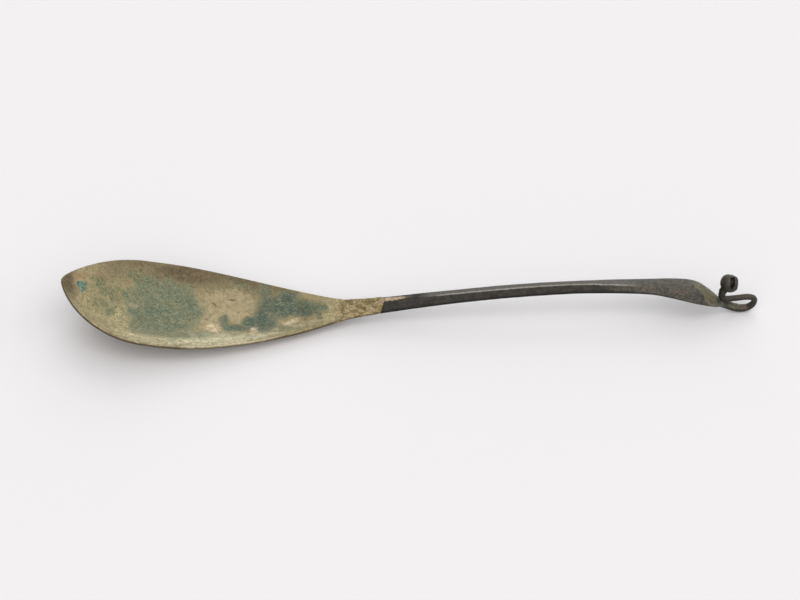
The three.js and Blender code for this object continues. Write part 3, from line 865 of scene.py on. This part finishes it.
def bowl_layers(points, inside, margin, wander):
    """Every layer that the bowl's finish reads, by name and point by point."""
    along = points[:, 0]
    tables = {"green": GREEN, "sage": SAGE, "teal": TEAL, "bare": BARE, "pale": PALE, "ochre": OCHRE}
    tables.update({"olive": OLIVE, "rust": RUST, "umber": UMBER_AND_SHADE, "scratch": SCRATCH, "speck": SPECK})
    layers = {name: in_patches(points, rows, wander * WANDER.get(name, 1)) for name, rows in tables.items()}
    across = points[:, 1] / np.maximum(rim_half(along), 1)
    # far: painted shade, partly brown patina, on the far wall's inner face
    layers["far"] = smooth(across, *FAR_SHADE_ACROSS) * smooth(along, *FAR_SHADE_FROM) * smooth(along, *FAR_SHADE_TO)
    # Painted highlight, partly wear, along the inner edge of the near rim only
    near_rim = smooth(margin, *WEAR_HIGHLIGHT_RIM) * (points[:, 1] < 0)
    layers["wear_and_highlight"] = near_rim * smooth(along, *WEAR_HIGHLIGHT_FROM) * smooth(along, *WEAR_HIGHLIGHT_TO)
    start = CRUST_FROM_X + CRUST_BOW * np.abs(points[:, 1]) + CRUST_RAG * wander[:, 0]
    crust = smooth(along, start + CRUST_EASE[0], start + CRUST_EASE[1])
    layers = {name: values * inside * (1 - crust) for name, values in layers.items()}
    tail = smooth(along, *BELLY_END)
    outer = inside == 0
    # Painted shade, partly dark patina, on the rim's edge and the outer face below the rim
    lip = smooth(inside, 0.7, 0.4) * (inside > 0) + smooth(margin, *LIP_SHADE_RIM) * outer * (1 - tail)
    layers["lip"] = lip * (1 - crust)
    layers["flank"] = smooth(margin, *FLANK_RIM) * outer * tail * (1 - crust)
    # Painted shade on the lower part of the neck's sides, just behind the start of the crust
    layers["low_neck_shade"] = smooth(along, start - LOW_NECK_SHADE_EASE, start) * smooth(height_share(points), *LOW_NECK_SHADE_SHARE)
    layers["inside"] = inside
    layers["crust"] = crust
    return layers


def bowl_relief(points, layers, margin):
    """How far each point of the bowl stands out in millimetres, and how near it is to the neck's end."""
    lumps, grain = ripple(points, 1.5, 6, 2), ripple(points, 0.8, 7)
    rise = sum(depth * ripple(points, size, seed) for depth, size, seed in HAMMERED)
    for name, (height, rough) in PATCH_RISE.items():
        rise += layers[name] * (height + rough * grain)
    rise += layers["ochre"] * (OCHRE_RISE + OCHRE_LUMPS * lumps)
    rise += (1 - layers["inside"]) * UNDER_LUMPS * lumps
    rise *= 0.12 + 0.88 * smooth(margin, 0, 3)
    end = smooth(points[:, 0], NECK_END_X - 0.25, NECK_END_X)
    rough = (CRUST_LUMPS * lumps + CRUST_GRAIN * grain) * (1 - 0.6 * end)
    return rise + layers["crust"] * (CRUST_THICK * (1 - end) + rough), end


def make_bowl():
    mesh, inside, margin = bowl_skin()
    points = positions(mesh)
    wander = np.stack([ripple(points, 5, 3, 3), ripple(points, 5, 4, 3)], axis=1) * 1.7
    layers = bowl_layers(points, inside, margin, wander)
    for name, values in layers.items():
        record(mesh, name, values)
    rise, end = bowl_relief(points, layers, margin)
    points += outward(mesh) * rise[:, None]
    points[:, 0] += smooth(points[:, 0], NECK_END_X - 4, NECK_END_X) * neck_slant(points)
    points[:, 0] += end * 0.2 * ripple(points, 1.6, 12)
    place(mesh, points)
    return add_piece(mesh, "bowl", patinated_bronze())


def section_mesh(name, rows):
    """Closed outline that a sweep carries along its rail. A row is the weights of one point.

    The weights are how much of the half width and half flat it stands out, and how much of the side and the
    rise it stands up, first on a crisp section and then on a soft one, and how far it is on the crown.
    """
    mesh = bpy.data.meshes.new(name)
    count = len(rows)
    angles = [2 * math.pi * k / count for k in range(count)]
    edges = [(k, (k + 1) % count) for k in range(count)]
    mesh.from_pydata([(math.cos(a) * MM, math.sin(a) * MM, 0) for a in angles], edges, [])
    names = ["out_crisp", "up_crisp", "out_soft", "up_soft"]
    for k, label in enumerate(names):
        mesh.attributes.new(label, "FLOAT_VECTOR", "POINT")
        flat = [value for row in rows for value in (*row[k], 0)]
        mesh.attributes[label].data.foreach_set("vector", flat)
    record(mesh, "crown", [row[4] for row in rows])
    return bpy.data.objects.new(name, mesh)


def bar_section():
    """Section of the bar: flat bottom, upright sides, sloping shoulders and a flat crown."""
    corners = [
        ((0, 0), (0, 0), 0),
        ((1, 0), (0, 0), 0),
        ((1, 0), (1, 0), 0),
        ((0, 1), (1, 1), 1),
        ((0, 0), (1, 1), 1),
    ]
    crisp = [(0.14, 0.26), (0.26, 0.16), (0.16, 0.3)]
    soft = [(0.14, 0.45), (0.5, 0.45), (0.5, 0.9)]

    def flat_row(corner):
        return np.array([*corner[0], *corner[1], corner[2]], float)

    def outline(cuts):
        rows = [flat_row(corners[0])]
        for k, (before, after) in enumerate(cuts, 1):
            here, back, ahead = (flat_row(corners[n]) for n in (k, k - 1, k + 1))
            start, end = here + (back - here) * before, here + (ahead - here) * after
            rows.extend(rows[-1] + (start - rows[-1]) * share for share in (0.2, 0.4, 0.6, 0.8))
            for t in (0, 0.25, 0.5, 0.75, 1):
                rows.append(start * (1 - t) ** 2 + here * 2 * t * (1 - t) + end * t * t)
        rows.extend(rows[-1] + (flat_row(corners[4]) - rows[-1]) * share for share in (0.33, 0.67, 1))
        return rows

    right = [
        [tuple(a[:2]), tuple(a[2:4]), tuple(b[:2]), tuple(b[2:4]), a[4]]
        for a, b in zip(outline(crisp), outline(soft))
    ]
    left = [
        [(-a[0], -a[1]), up_a, (-b[0], -b[1]), up_b, crown]
        for a, up_a, b, up_b, crown in right[-2:0:-1]
    ]
    return section_mesh("bar_section", right + left)


def round_section(count):
    rows = []
    for k in range(count):
        angle = 2 * math.pi * k / count
        weights = [(math.sin(angle), 0), (0, math.cos(angle))]
        rows.append([*weights, *weights, 0])
    return section_mesh("round_section", rows)


def rail_mesh(name, stations):
    """Line that a sweep follows. A station is its seat, its upward direction, its sizes and its softness."""
    mesh = bpy.data.meshes.new(name)
    seats = [station["seat"] for station in stations]
    mesh.from_pydata((np.array(seats) * MM).tolist(), [(k, k + 1) for k in range(len(seats) - 1)], [])
    for label, scale in (("seat", MM), ("up", 1), ("widths", MM), ("heights", MM)):
        mesh.attributes.new(label, "FLOAT_VECTOR", "POINT")
        flat = (np.array([station[label] for station in stations], float) * scale).ravel()
        mesh.attributes[label].data.foreach_set("vector", flat)
    record(mesh, "soft", [station.get("soft", 0) for station in stations])
    piece = bpy.data.objects.new(name, mesh)
    bpy.context.scene.collection.objects.link(piece)
    return piece


def sweep_tree():
    """Carries a section along a rail, sizes it by the rail's stations and dents its surface."""
    tree = bpy.data.node_groups.new("sweep_along_rail", "GeometryNodeTree")
    inputs = [
        ("Rail", "NodeSocketGeometry"),
        ("Section", "NodeSocketObject"),
        ("Metal", "NodeSocketMaterial"),
        ("Dent depth", "NodeSocketFloat"),
        ("Dent size", "NodeSocketFloat"),
        ("Pit depth", "NodeSocketFloat"),
        ("Pit size", "NodeSocketFloat"),
    ]
    for label, kind in inputs:
        tree.interface.new_socket(label, in_out="INPUT", socket_type=kind)
    tree.interface.new_socket("Piece", in_out="OUTPUT", socket_type="NodeSocketGeometry")
    g = Nodes(tree)
    group = tree.nodes.new("NodeGroupInput")
    given = {label: Socket(g, group.outputs[label]) for label, _ in inputs}

    def named(label, kind="FLOAT_VECTOR"):
        return g.add("GeometryNodeInputNamedAttribute", {"data_type": kind}, {"Name": label})

    def vector(operation, *terms, output=0):
        return g.add("ShaderNodeVectorMath", {"operation": operation}, dict(enumerate(terms)), output)

    def scaled(direction, amount):
        return g.add("ShaderNodeVectorMath", {"operation": "SCALE"}, {0: direction, "Scale": amount})

    def chosen(crisp, soft):
        terms = {0: named("soft", "FLOAT"), 4: named(crisp), 5: named(soft)}
        return g.add("ShaderNodeMix", {"data_type": "VECTOR"}, terms, 1)

    def bumps(depth, size):
        position = g.add("GeometryNodeInputPosition")
        field = g.add("ShaderNodeTexNoise", None, {"Vector": position, "Scale": 1 / size, "Detail": 2.0})
        return (field - 0.5) * depth

    rail = g.add("GeometryNodeMeshToCurve", None, {"Mesh": given["Rail"]})
    shape = g.add("GeometryNodeObjectInfo", None, {"Object": given["Section"]}, "Geometry")
    outline = g.add("GeometryNodeMeshToCurve", None, {"Mesh": shape})
    swept_along = {"Curve": rail, "Profile Curve": outline, "Fill Caps": True}
    tube = g.add("GeometryNodeCurveToMesh", None, swept_along)
    out = vector("DOT_PRODUCT", chosen("out_crisp", "out_soft"), named("widths"), output=1)
    rise = vector("DOT_PRODUCT", chosen("up_crisp", "up_soft"), named("heights"), output=1)
    aside = g.add("ShaderNodeCombineXYZ", None, {"Y": out})
    spot = vector("ADD", vector("ADD", named("seat"), aside), scaled(named("up"), rise))
    skin = g.add("GeometryNodeSetPosition", None, {"Geometry": tube, "Position": spot})
    depth = bumps(given["Dent depth"], given["Dent size"]) + bumps(given["Pit depth"], given["Pit size"])
    push = scaled(g.add("GeometryNodeInputNormal"), depth)
    worked = g.add("GeometryNodeSetPosition", None, {"Geometry": skin, "Offset": push})
    whole = g.add("GeometryNodeRealizeInstances", None, {"Geometry": worked})
    coated = g.add("GeometryNodeSetMaterial", None, {"Geometry": whole, "Material": given["Metal"]})
    end = tree.nodes.new("NodeGroupOutput")
    tree.links.new(coated.link, end.inputs["Piece"])
    return tree


def swept(name, stations, section, material, dents, pits):
    """Plain mesh of a section swept along stations. Dents and pits are pairs of a depth and a size."""
    rail = rail_mesh(name + "_rail", stations)
    modifier = rail.modifiers.new("sweep", "NODES")
    modifier.node_group = SWEEP
    values = {
        "Section": section,
        "Metal": material,
        "Dent depth": dents[0] * MM,
        "Dent size": dents[1] * MM,
        "Pit depth": pits[0] * MM,
        "Pit size": pits[1] * MM,
    }
    for item in SWEEP.interface.items_tree:
        if item.name in values:
            modifier[item.identifier] = values[item.name]
    bpy.context.view_layer.update()
    seen = rail.evaluated_get(bpy.context.evaluated_depsgraph_get())
    mesh = bpy.data.meshes.new_from_object(seen)
    mesh.name = name
    rail.modifiers.clear()
    bpy.data.objects.remove(rail)
    for label in ("seat", "up", "widths", "heights", "soft", "out_crisp", "up_crisp", "out_soft", "up_soft"):
        if label in mesh.attributes:
            mesh.attributes.remove(mesh.attributes[label])
    turn_outwards(mesh)
    place(mesh, positions(mesh))
    return mesh


DARK_LAYERS = ("upper", "under", "leaf", "brown", "olive", "gold", "crown", "arris", "hollow")


def paint_dark(mesh, values, tables):
    """Records every layer that the dark bronze reads: given values, patches in plan, or zero."""
    points = positions(mesh)
    wander = np.stack([ripple(points, 2.5, 5, 2), ripple(points, 2.5, 6, 2)], axis=1) * 0.7
    for name in DARK_LAYERS:
        value = values.get(name, np.zeros(len(points)))
        if name in tables:
            value = np.maximum(value, in_patches(points, tables[name], wander))
        record(mesh, name, value)


def facing(mesh):
    """How far each point faces up, and how far it faces down: masks for painted light on top and painted
    shade underneath.
    """
    rise = outward(mesh)[:, 2]
    return {"upper": smooth(rise, 0.1, 0.95), "under": smooth(rise, 0.15, -0.75)}


def bar_line(column, x):
    """One column of the bar's table at many x."""
    at = np.linspace(BAR[0][0], BAR[-1][0], 400)
    return np.interp(x, at, [on_table(BAR, column, value) for value in at])


def make_stem():
    x = np.arange(STEM_FROM_X, STEM_TO_X, 0.42)
    x = np.unique(np.concatenate([x, np.arange(PIT_X - 1.6, PIT_X + 1.6, 0.14), [STEM_TO_X]]))
    stations = []
    for at in x:
        bottom, half, side, rise, flat = bar_at(at)
        stations.append({
            "seat": (at, 0, bottom),
            "up": (0, 0, 1),
            "widths": (half, flat, 0),
            "heights": (side, rise, 0),
            "soft": float(smooth(at, LEAF_SOFT_FROM, LEAF_SOFT_TO)),
        })
    material = dark_bronze("dark_bronze")
    mesh = swept("stem", stations, bar_section(), material, STEM_DENTS, STEM_PITS)
    points, normals = positions(mesh), outward(mesh)
    along, aside = points[:, 0], points[:, 1]
    flat = bar_line(5, along)
    height = (points[:, 2] - bar_line(1, along)) / bar_line(3, along)
    top = smooth(normals[:, 2], 0.4, 0.8)
    shine = smooth(along, *SHINE_FROM)
    fade = smooth(along, *SHINE_TO)
    line = LEAF_LINE_X - LEAF_LINE_SLANT * aside + 0.9 * ripple(points, 2.4, 11, 3)
    tail = 0.8 * smooth(along - line, -2, 1.6)
    # Painted sheen on the flat top and a painted highlight along its near edge, both partly rubbed metal
    edge = np.exp(-((aside / flat + ARRIS_SHARE) / ARRIS_WIDTH) ** 2)
    values = {
        "crown": top * smooth(np.abs(aside) / flat, *CROWN_SHARE) * shine * fade,
        "arris": edge * top * smooth(along, *ARRIS_FROM) * fade,
        "leaf": smooth(along, *LEAF_FROM) * smooth(normals[:, 2], 0, 0.6) * (1 - tail),
        "olive": tail * smooth(normals[:, 2], -0.2, 0.4),
        # Painted shade low on the stem's sides
        "under": smooth(height, 1, 0.4) * smooth(along, *SHADE_TO),
    }
    paint_dark(mesh, values, {"brown": LEAF_BROWN, "gold": LEAF_GOLD})
    away = np.hypot(along - PIT_X, aside - PIT_Y) / PIT_RADIUS
    sink = -PIT_DEPTH * smooth(away, 0.85, 0.3) + PIT_LIP * np.exp(-((away - 1.05) / 0.22) ** 2)
    sink *= normals[:, 2] > 0.3
    end = NECK_END_X + neck_slant(points)
    sink -= NECK_OVERLAP * smooth(along, end - 0.05, end - 0.3)
    points += normals * sink[:, None]
    place(mesh, points)
    return add_piece(mesh, "stem", material)


def make_tongue():
    """Irregular lick of solder, let into the tops of the neck and the stem."""
    stations = []
    for at in np.arange(TONGUE_FROM, TONGUE_TO + 0.01, 0.2):
        bottom, _, side, rise, _ = bar_at(at)
        t = (at - TONGUE_FROM) / (TONGUE_TO - TONGUE_FROM)
        width = TONGUE_HALF + (TONGUE_TIP_HALF - TONGUE_HALF) * t ** 3
        width += 0.22 * noise.noise(Vector((at / 1.1, 3, 7))) + 0.1 * noise.noise(Vector((at / 0.5, 1, 2)))
        ends = float(smooth(min(t, 1 - t), -0.002, 0.06))
        middle = 0.28 * noise.noise(Vector((at / 1.6, 9, 4)))
        stations.append({
            "seat": (at, middle, bottom + side + rise - TONGUE_SUNK),
            "up": (0, 0, 1),
            "widths": (width * (0.3 + 0.7 * ends), 0, 0),
            "heights": (0, (TONGUE_SUNK + TONGUE_PROUD) * (0.5 + 0.5 * ends), 0),
        })
    material = pale_solder()
    mesh = swept("neck_solder", stations, round_section(28), material, TONGUE_DENTS, TONGUE_PITS)
    record(mesh, "thin", smooth(positions(mesh)[:, 0], -6.5, 0.5))
    return add_piece(mesh, "neck_solder", material)


def catmull_rom(rows, per_span):
    """Points of a smooth curve through rows of numbers, spaced by the distance between the rows."""
    rows = np.array(rows, float)
    rows = np.vstack([2 * rows[0] - rows[1], rows, 2 * rows[-1] - rows[-2]])
    knots = [0]
    for a, b in zip(rows, rows[1:]):
        knots.append(knots[-1] + math.sqrt(np.linalg.norm((b - a)[:2])))
    curve = []
    for k in range(1, len(rows) - 2):
        p0, p1, p2, p3 = rows[k - 1 : k + 3]
        t0, t1, t2, t3 = knots[k - 1 : k + 3]
        for t in np.linspace(t1, t2, per_span, endpoint=False):
            a = p0 * (t1 - t) / (t1 - t0) + p1 * (t - t0) / (t1 - t0)
            b = p1 * (t2 - t) / (t2 - t1) + p2 * (t - t1) / (t2 - t1)
            c = p2 * (t3 - t) / (t3 - t2) + p3 * (t - t2) / (t3 - t2)
            d = a * (t2 - t) / (t2 - t0) + b * (t - t0) / (t2 - t0)
            e = b * (t3 - t) / (t3 - t1) + c * (t - t1) / (t3 - t1)
            curve.append(d * (t2 - t) / (t2 - t1) + e * (t - t1) / (t2 - t1))
    return np.array([*curve, rows[-2]])


def wire_stations(rows, per_span):
    curve = catmull_rom(rows, per_span)
    along = np.gradient(curve[:, :2], axis=0)
    along /= np.linalg.norm(along, axis=1, keepdims=True)
    return [
        {
            "seat": (x, 0, z),
            "up": (-direction[1], 0, direction[0]),
            "widths": (half, 0, 0),
            "heights": (0, rise, 0),
        }
        for (x, z, half, rise), direction in zip(curve, along)
    ]


def make_wire():
    material = dark_bronze("dark_bronze_loop")
    mesh = swept("loop_wire", wire_stations(WIRE, 12), round_section(40), material, WIRE_DENTS, WIRE_PITS)
    points = positions(mesh)
    values = facing(mesh)
    lower = smooth(points[:, 2], *WIRE_LOWER) * smooth(outward(mesh)[:, 2], -0.1, 0.5)
    away = np.hypot(points[:, 0] - WIRE_RED_X, points[:, 2] - WIRE_RED_HEIGHT)
    beside = smooth(points[:, 0], *WIRE_OLIVE_FROM) * smooth(points[:, 0], *WIRE_OLIVE_TO)
    values["brown"] = 0.9 * smooth(away, *WIRE_RED_REACH) * lower
    values["olive"] = 0.62 * beside * lower
    paint_dark(mesh, values, {})
    return add_piece(mesh, "loop_wire", material)


def make_bead():
    material = grey_solder("grey_solder", paint(74, 78, 74), paint(112, 114, 102))
    mesh = swept("tip_solder", wire_stations(BEAD, 8), round_section(40), material, BEAD_DENTS, BEAD_PITS)
    return add_piece(mesh, "tip_solder", material)


def on_bud(x, radius, turn):
    """Point of the bud at a place along its axis, a distance from it and a turn in degrees from the top."""
    angle = math.radians(turn)
    spot = Vector((x, -radius * math.sin(angle), radius * math.cos(angle)))
    return Matrix.Rotation(BUD_TILT, 3, "Y") @ spot + Vector((BUD_X, 0, BUD_HEIGHT))


def turned_mesh(name, profile, radius_at=lambda x, radius, turn: radius):
    """Solid turned from pairs of a radius and an x about the bud's axis, with both ends on the axis."""
    steps = 120
    points, faces, rings = [], [], []
    for radius, x in profile:
        if radius == 0:
            rings.append([len(points)])
            points.append(on_bud(x, 0, 0))
            continue
        first = len(points)
        for k in range(steps):
            turn = 360 * k / steps - 180
            points.append(on_bud(x, radius_at(x, radius, turn), turn))
        rings.append(list(range(first, first + steps)))
    for a, b in zip(rings, rings[1:]):
        for k in range(steps):
            n = (k + 1) % steps
            if len(a) == 1:
                faces.append((a[0], b[k], b[n]))
            elif len(b) == 1:
                faces.append((a[k], b[0], a[n]))
            else:
                faces.append((a[k], b[k], b[n], a[n]))
    return new_mesh(name, points, faces)


def arc(radius, start, end, steps, centre=(0, 0)):
    """Pairs on a circle; the angle runs from the x direction towards the radius."""
    angles = np.radians(np.linspace(start, end, steps))
    return [(centre[0] + radius * math.sin(a), centre[1] + radius * math.cos(a)) for a in angles]


def dense(profile, spacing):
    """The profile with extra pairs so that none lie further apart than the spacing."""
    out = [profile[0]]
    for a, b in zip(profile, profile[1:]):
        count = max(1, math.ceil(math.dist(a, b) / spacing))
        for share in (k / count for k in range(1, count + 1)):
            out.append((a[0] + (b[0] - a[0]) * share, a[1] + (b[1] - a[1]) * share))
    return out


def roughen(mesh, dent, dent_size, pit, pit_size, seed):
    points = positions(mesh)
    rise = dent * ripple(points, dent_size, seed) + pit * ripple(points, pit_size, seed + 1)
    place(mesh, points + outward(mesh) * rise[:, None])


def make_calyx(material):
    """Half ball that swallows the end of the wire, with a thin raised lip."""
    depth = BUD_LENGTH - LIP_WIDTH
    ball = [(BUD_RADIUS * r, depth * x - LIP_WIDTH) for r, x in arc(1, 180, 90, 30)]
    ball[0] = (0, ball[0][1])
    lip = [
        (BUD_RADIUS - 0.05, -LIP_WIDTH + 0.07),
        (BUD_RADIUS + 0.04, -LIP_WIDTH + 0.13),
        (BUD_RADIUS + 0.05, -0.08),
        (BUD_RADIUS - LIP_DROP, 0),
        (SLIT_FLOOR, 0.03),
        (0, 0.05),
    ]
    mesh = turned_mesh("bud_calyx", dense(ball + lip, 0.3))
    roughen(mesh, 0.07, 2.6, 0.03, 0.8, 21)
    points = positions(mesh)
    values = facing(mesh)
    root = np.linalg.norm(points - (BUD_X, 0, BUD_HEIGHT) - ROOT_PLACE, axis=1)
    # Painted shade, partly crevice dirt, round the wire's root
    values["hollow"] = 0.9 * smooth(root, *ROOT_REACH)
    values["leaf"] = 0.7 * smooth(points[:, 0], BUD_X - 0.4, BUD_X - 0.1) * smooth(root, 1, 3)
    paint_dark(mesh, values, {})
    return add_piece(mesh, "bud_calyx", material)


def slit_share(x, turn):
    """How far the slit is cut in, from 0 to 1, at a place along the bud's axis and a turn from the top."""
    along = (turn - SLIT_FROM) / (SLIT_TO - SLIT_FROM)
    width = SLIT_WIDTH + (SLIT_END_WIDTH - SLIT_WIDTH) * along
    start = smooth(turn, SLIT_FROM, SLIT_FROM + SLIT_EASE)
    end = smooth(turn, SLIT_TO + SLIT_EASE, SLIT_TO - SLIT_EASE)
    return float(smooth(x, width + 0.14, width - 0.1) * start * end)


def make_cap(material):
    """Cap with a slit that opens against the calyx on the near side."""
    inner, far = CAP_RADIUS - CAP_ROUND, CAP_LENGTH - CAP_ROUND
    profile = dense([(0, 0.02), (CAP_RADIUS - 0.12, 0.02), (CAP_RADIUS, 0.14), (CAP_RADIUS, 1)], 0.15)
    profile += dense([(CAP_RADIUS, 1.05), (CAP_RADIUS, far)], 0.05)
    profile += arc(CAP_ROUND, 90, 8, 14, (inner, far))
    profile += dense([(inner, CAP_LENGTH), (0, CAP_LENGTH + CAP_DOME)], 0.3)

    def radius_at(x, radius, turn):
        return radius - max(radius - SLIT_FLOOR, 0) * 0.96 * slit_share(x, turn)

    mesh = turned_mesh("bud_cap", profile, radius_at)
    roughen(mesh, 0.06, 2.4, 0.03, 0.8, 31)
    points = positions(mesh)
    values = facing(mesh)
    from_axis = np.hypot(points[:, 1], points[:, 2] - BUD_HEIGHT)
    beyond = points[:, 0] - BUD_X - SLIT_WIDTH
    front = (BUD_HEIGHT - points[:, 2] - points[:, 1]) * math.sqrt(0.5)
    points[:, 0] -= CAP_NIP * smooth(front, 0, 3.2) * smooth(beyond, 1.4, 0.1) * smooth(from_axis, 2.2, 2.8)
    points[:, 1:] -= (CAP_SLIP * smooth(from_axis, 2.1, 2.6))[:, None]
    place(mesh, points)
    slit_end = BUD_X + SLIT_WIDTH
    # Painted shade in the slit's recess
    values["hollow"] = smooth(from_axis, 3.1, 2.4) * smooth(points[:, 0], slit_end + 0.5, slit_end)
    values["leaf"] = 0.7 * smooth(points[:, 0], BUD_X + 2.4, BUD_X + 3.3)
    paint_dark(mesh, values, {})
    return add_piece(mesh, "bud_cap", material)


def make_bridge():
    """Run of solder across the slit at the top of the bud."""
    sides, rings, points, faces = 24, [], [], []
    for turn in np.linspace(BRIDGE_FROM, BRIDGE_TO, 31):
        along = (turn - BRIDGE_FROM) / (BRIDGE_TO - BRIDGE_FROM)
        swell = max(math.sin(math.pi * along), 0.04) ** 0.4
        ring = []
        for k in range(sides):
            angle = 2 * math.pi * k / sides
            x = BRIDGE_X + BRIDGE_HALF * swell * math.sin(angle)
            radius = BRIDGE_RADIUS + BRIDGE_RISE * swell * math.cos(angle)
            ring.append(len(points))
            points.append(on_bud(x, radius, turn))
        rings.append(ring)
    for a, b in zip(rings, rings[1:]):
        for k in range(sides):
            n = (k + 1) % sides
            faces.append((a[k], b[k], b[n], a[n]))
    faces.extend([tuple(rings[0]), tuple(reversed(rings[-1]))])
    mesh = new_mesh("bud_solder", points, faces)
    roughen(mesh, 0.08, 1.2, 0.03, 0.6, 41)
    material = grey_solder("grey_solder_bud", paint(84, 78, 68), paint(116, 107, 95))
    return add_piece(mesh, "bud_solder", material)


def make_floor():
    mesh = bpy.data.meshes.new("floor")
    corners = [(-1, -1), (1, -1), (1, 1), (-1, 1)]
    points = [(x * FLOOR_REACH, y * FLOOR_REACH, -FLOOR_DROP) for x, y in corners]
    mesh.from_pydata(points, [], [(0, 1, 2, 3)])
    f = Finish("pale_floor")
    f.shader.inputs["Base Color"].default_value = paint(243, 241, 242)
    f.shader.inputs["Roughness"].default_value = 0.9
    f.shader.inputs["Specular IOR Level"].default_value = 0.0
    mesh.materials.append(f.material)
    floor = bpy.data.objects.new("floor", mesh)
    bpy.context.scene.collection.objects.link(floor)


def add_sun(name, elevation, azimuth, spread, strength):
    """Soft light from a wide disc of sky."""
    lamp = bpy.data.lights.new(name, "SUN")
    lamp.energy = strength
    lamp.angle = math.radians(spread)
    up, side = math.radians(elevation), math.radians(azimuth)
    source = Vector((math.sin(side) * math.cos(up), math.cos(side) * math.cos(up), math.sin(up)))
    sun = bpy.data.objects.new(name, lamp)
    sun.rotation_euler = source.to_track_quat("Z", "Y").to_euler()
    bpy.context.scene.collection.objects.link(sun)


def light_scene():
    for lamp in LAMPS:
        add_sun(*lamp)
    world = bpy.data.worlds.new("studio")
    bpy.context.scene.world = world
    world.use_nodes = True
    world.node_tree.nodes["Background"].inputs["Color"].default_value = SKY_COLOUR
    world.node_tree.nodes["Background"].inputs["Strength"].default_value = SKY_STRENGTH


def add_camera():
    cos_e, sin_e = math.cos(CAMERA_ELEVATION), math.sin(CAMERA_ELEVATION)
    back = Vector((math.sin(CAMERA_AZIMUTH) * cos_e, -math.cos(CAMERA_AZIMUTH) * cos_e, sin_e))
    right = Vector((math.cos(CAMERA_AZIMUTH), math.sin(CAMERA_AZIMUTH), 0))
    up = back.cross(right)
    eye = right * AIM_RIGHT + up * AIM_UP + back * CAMERA_DISTANCE
    lens = bpy.data.cameras.new("camera")
    lens.sensor_width = SENSOR_WIDTH
    lens.lens = LENS
    lens.clip_start = 0.01
    camera = bpy.data.objects.new("camera", lens)
    turn = Matrix((right, up, back)).transposed().to_4x4()
    camera.matrix_world = Matrix.Translation(eye * MM) @ turn
    bpy.context.scene.collection.objects.link(camera)
    bpy.context.scene.camera = camera


add_camera()
light_scene()
make_floor()
SWEEP = sweep_tree()
make_bowl()
make_stem()
make_tongue()
make_wire()
make_bead()
bud_bronze = dark_bronze("dark_bronze_bud")
make_calyx(bud_bronze)
make_cap(bud_bronze)
make_bridge()
bpy.context.scene.view_settings.view_transform = "Standard"
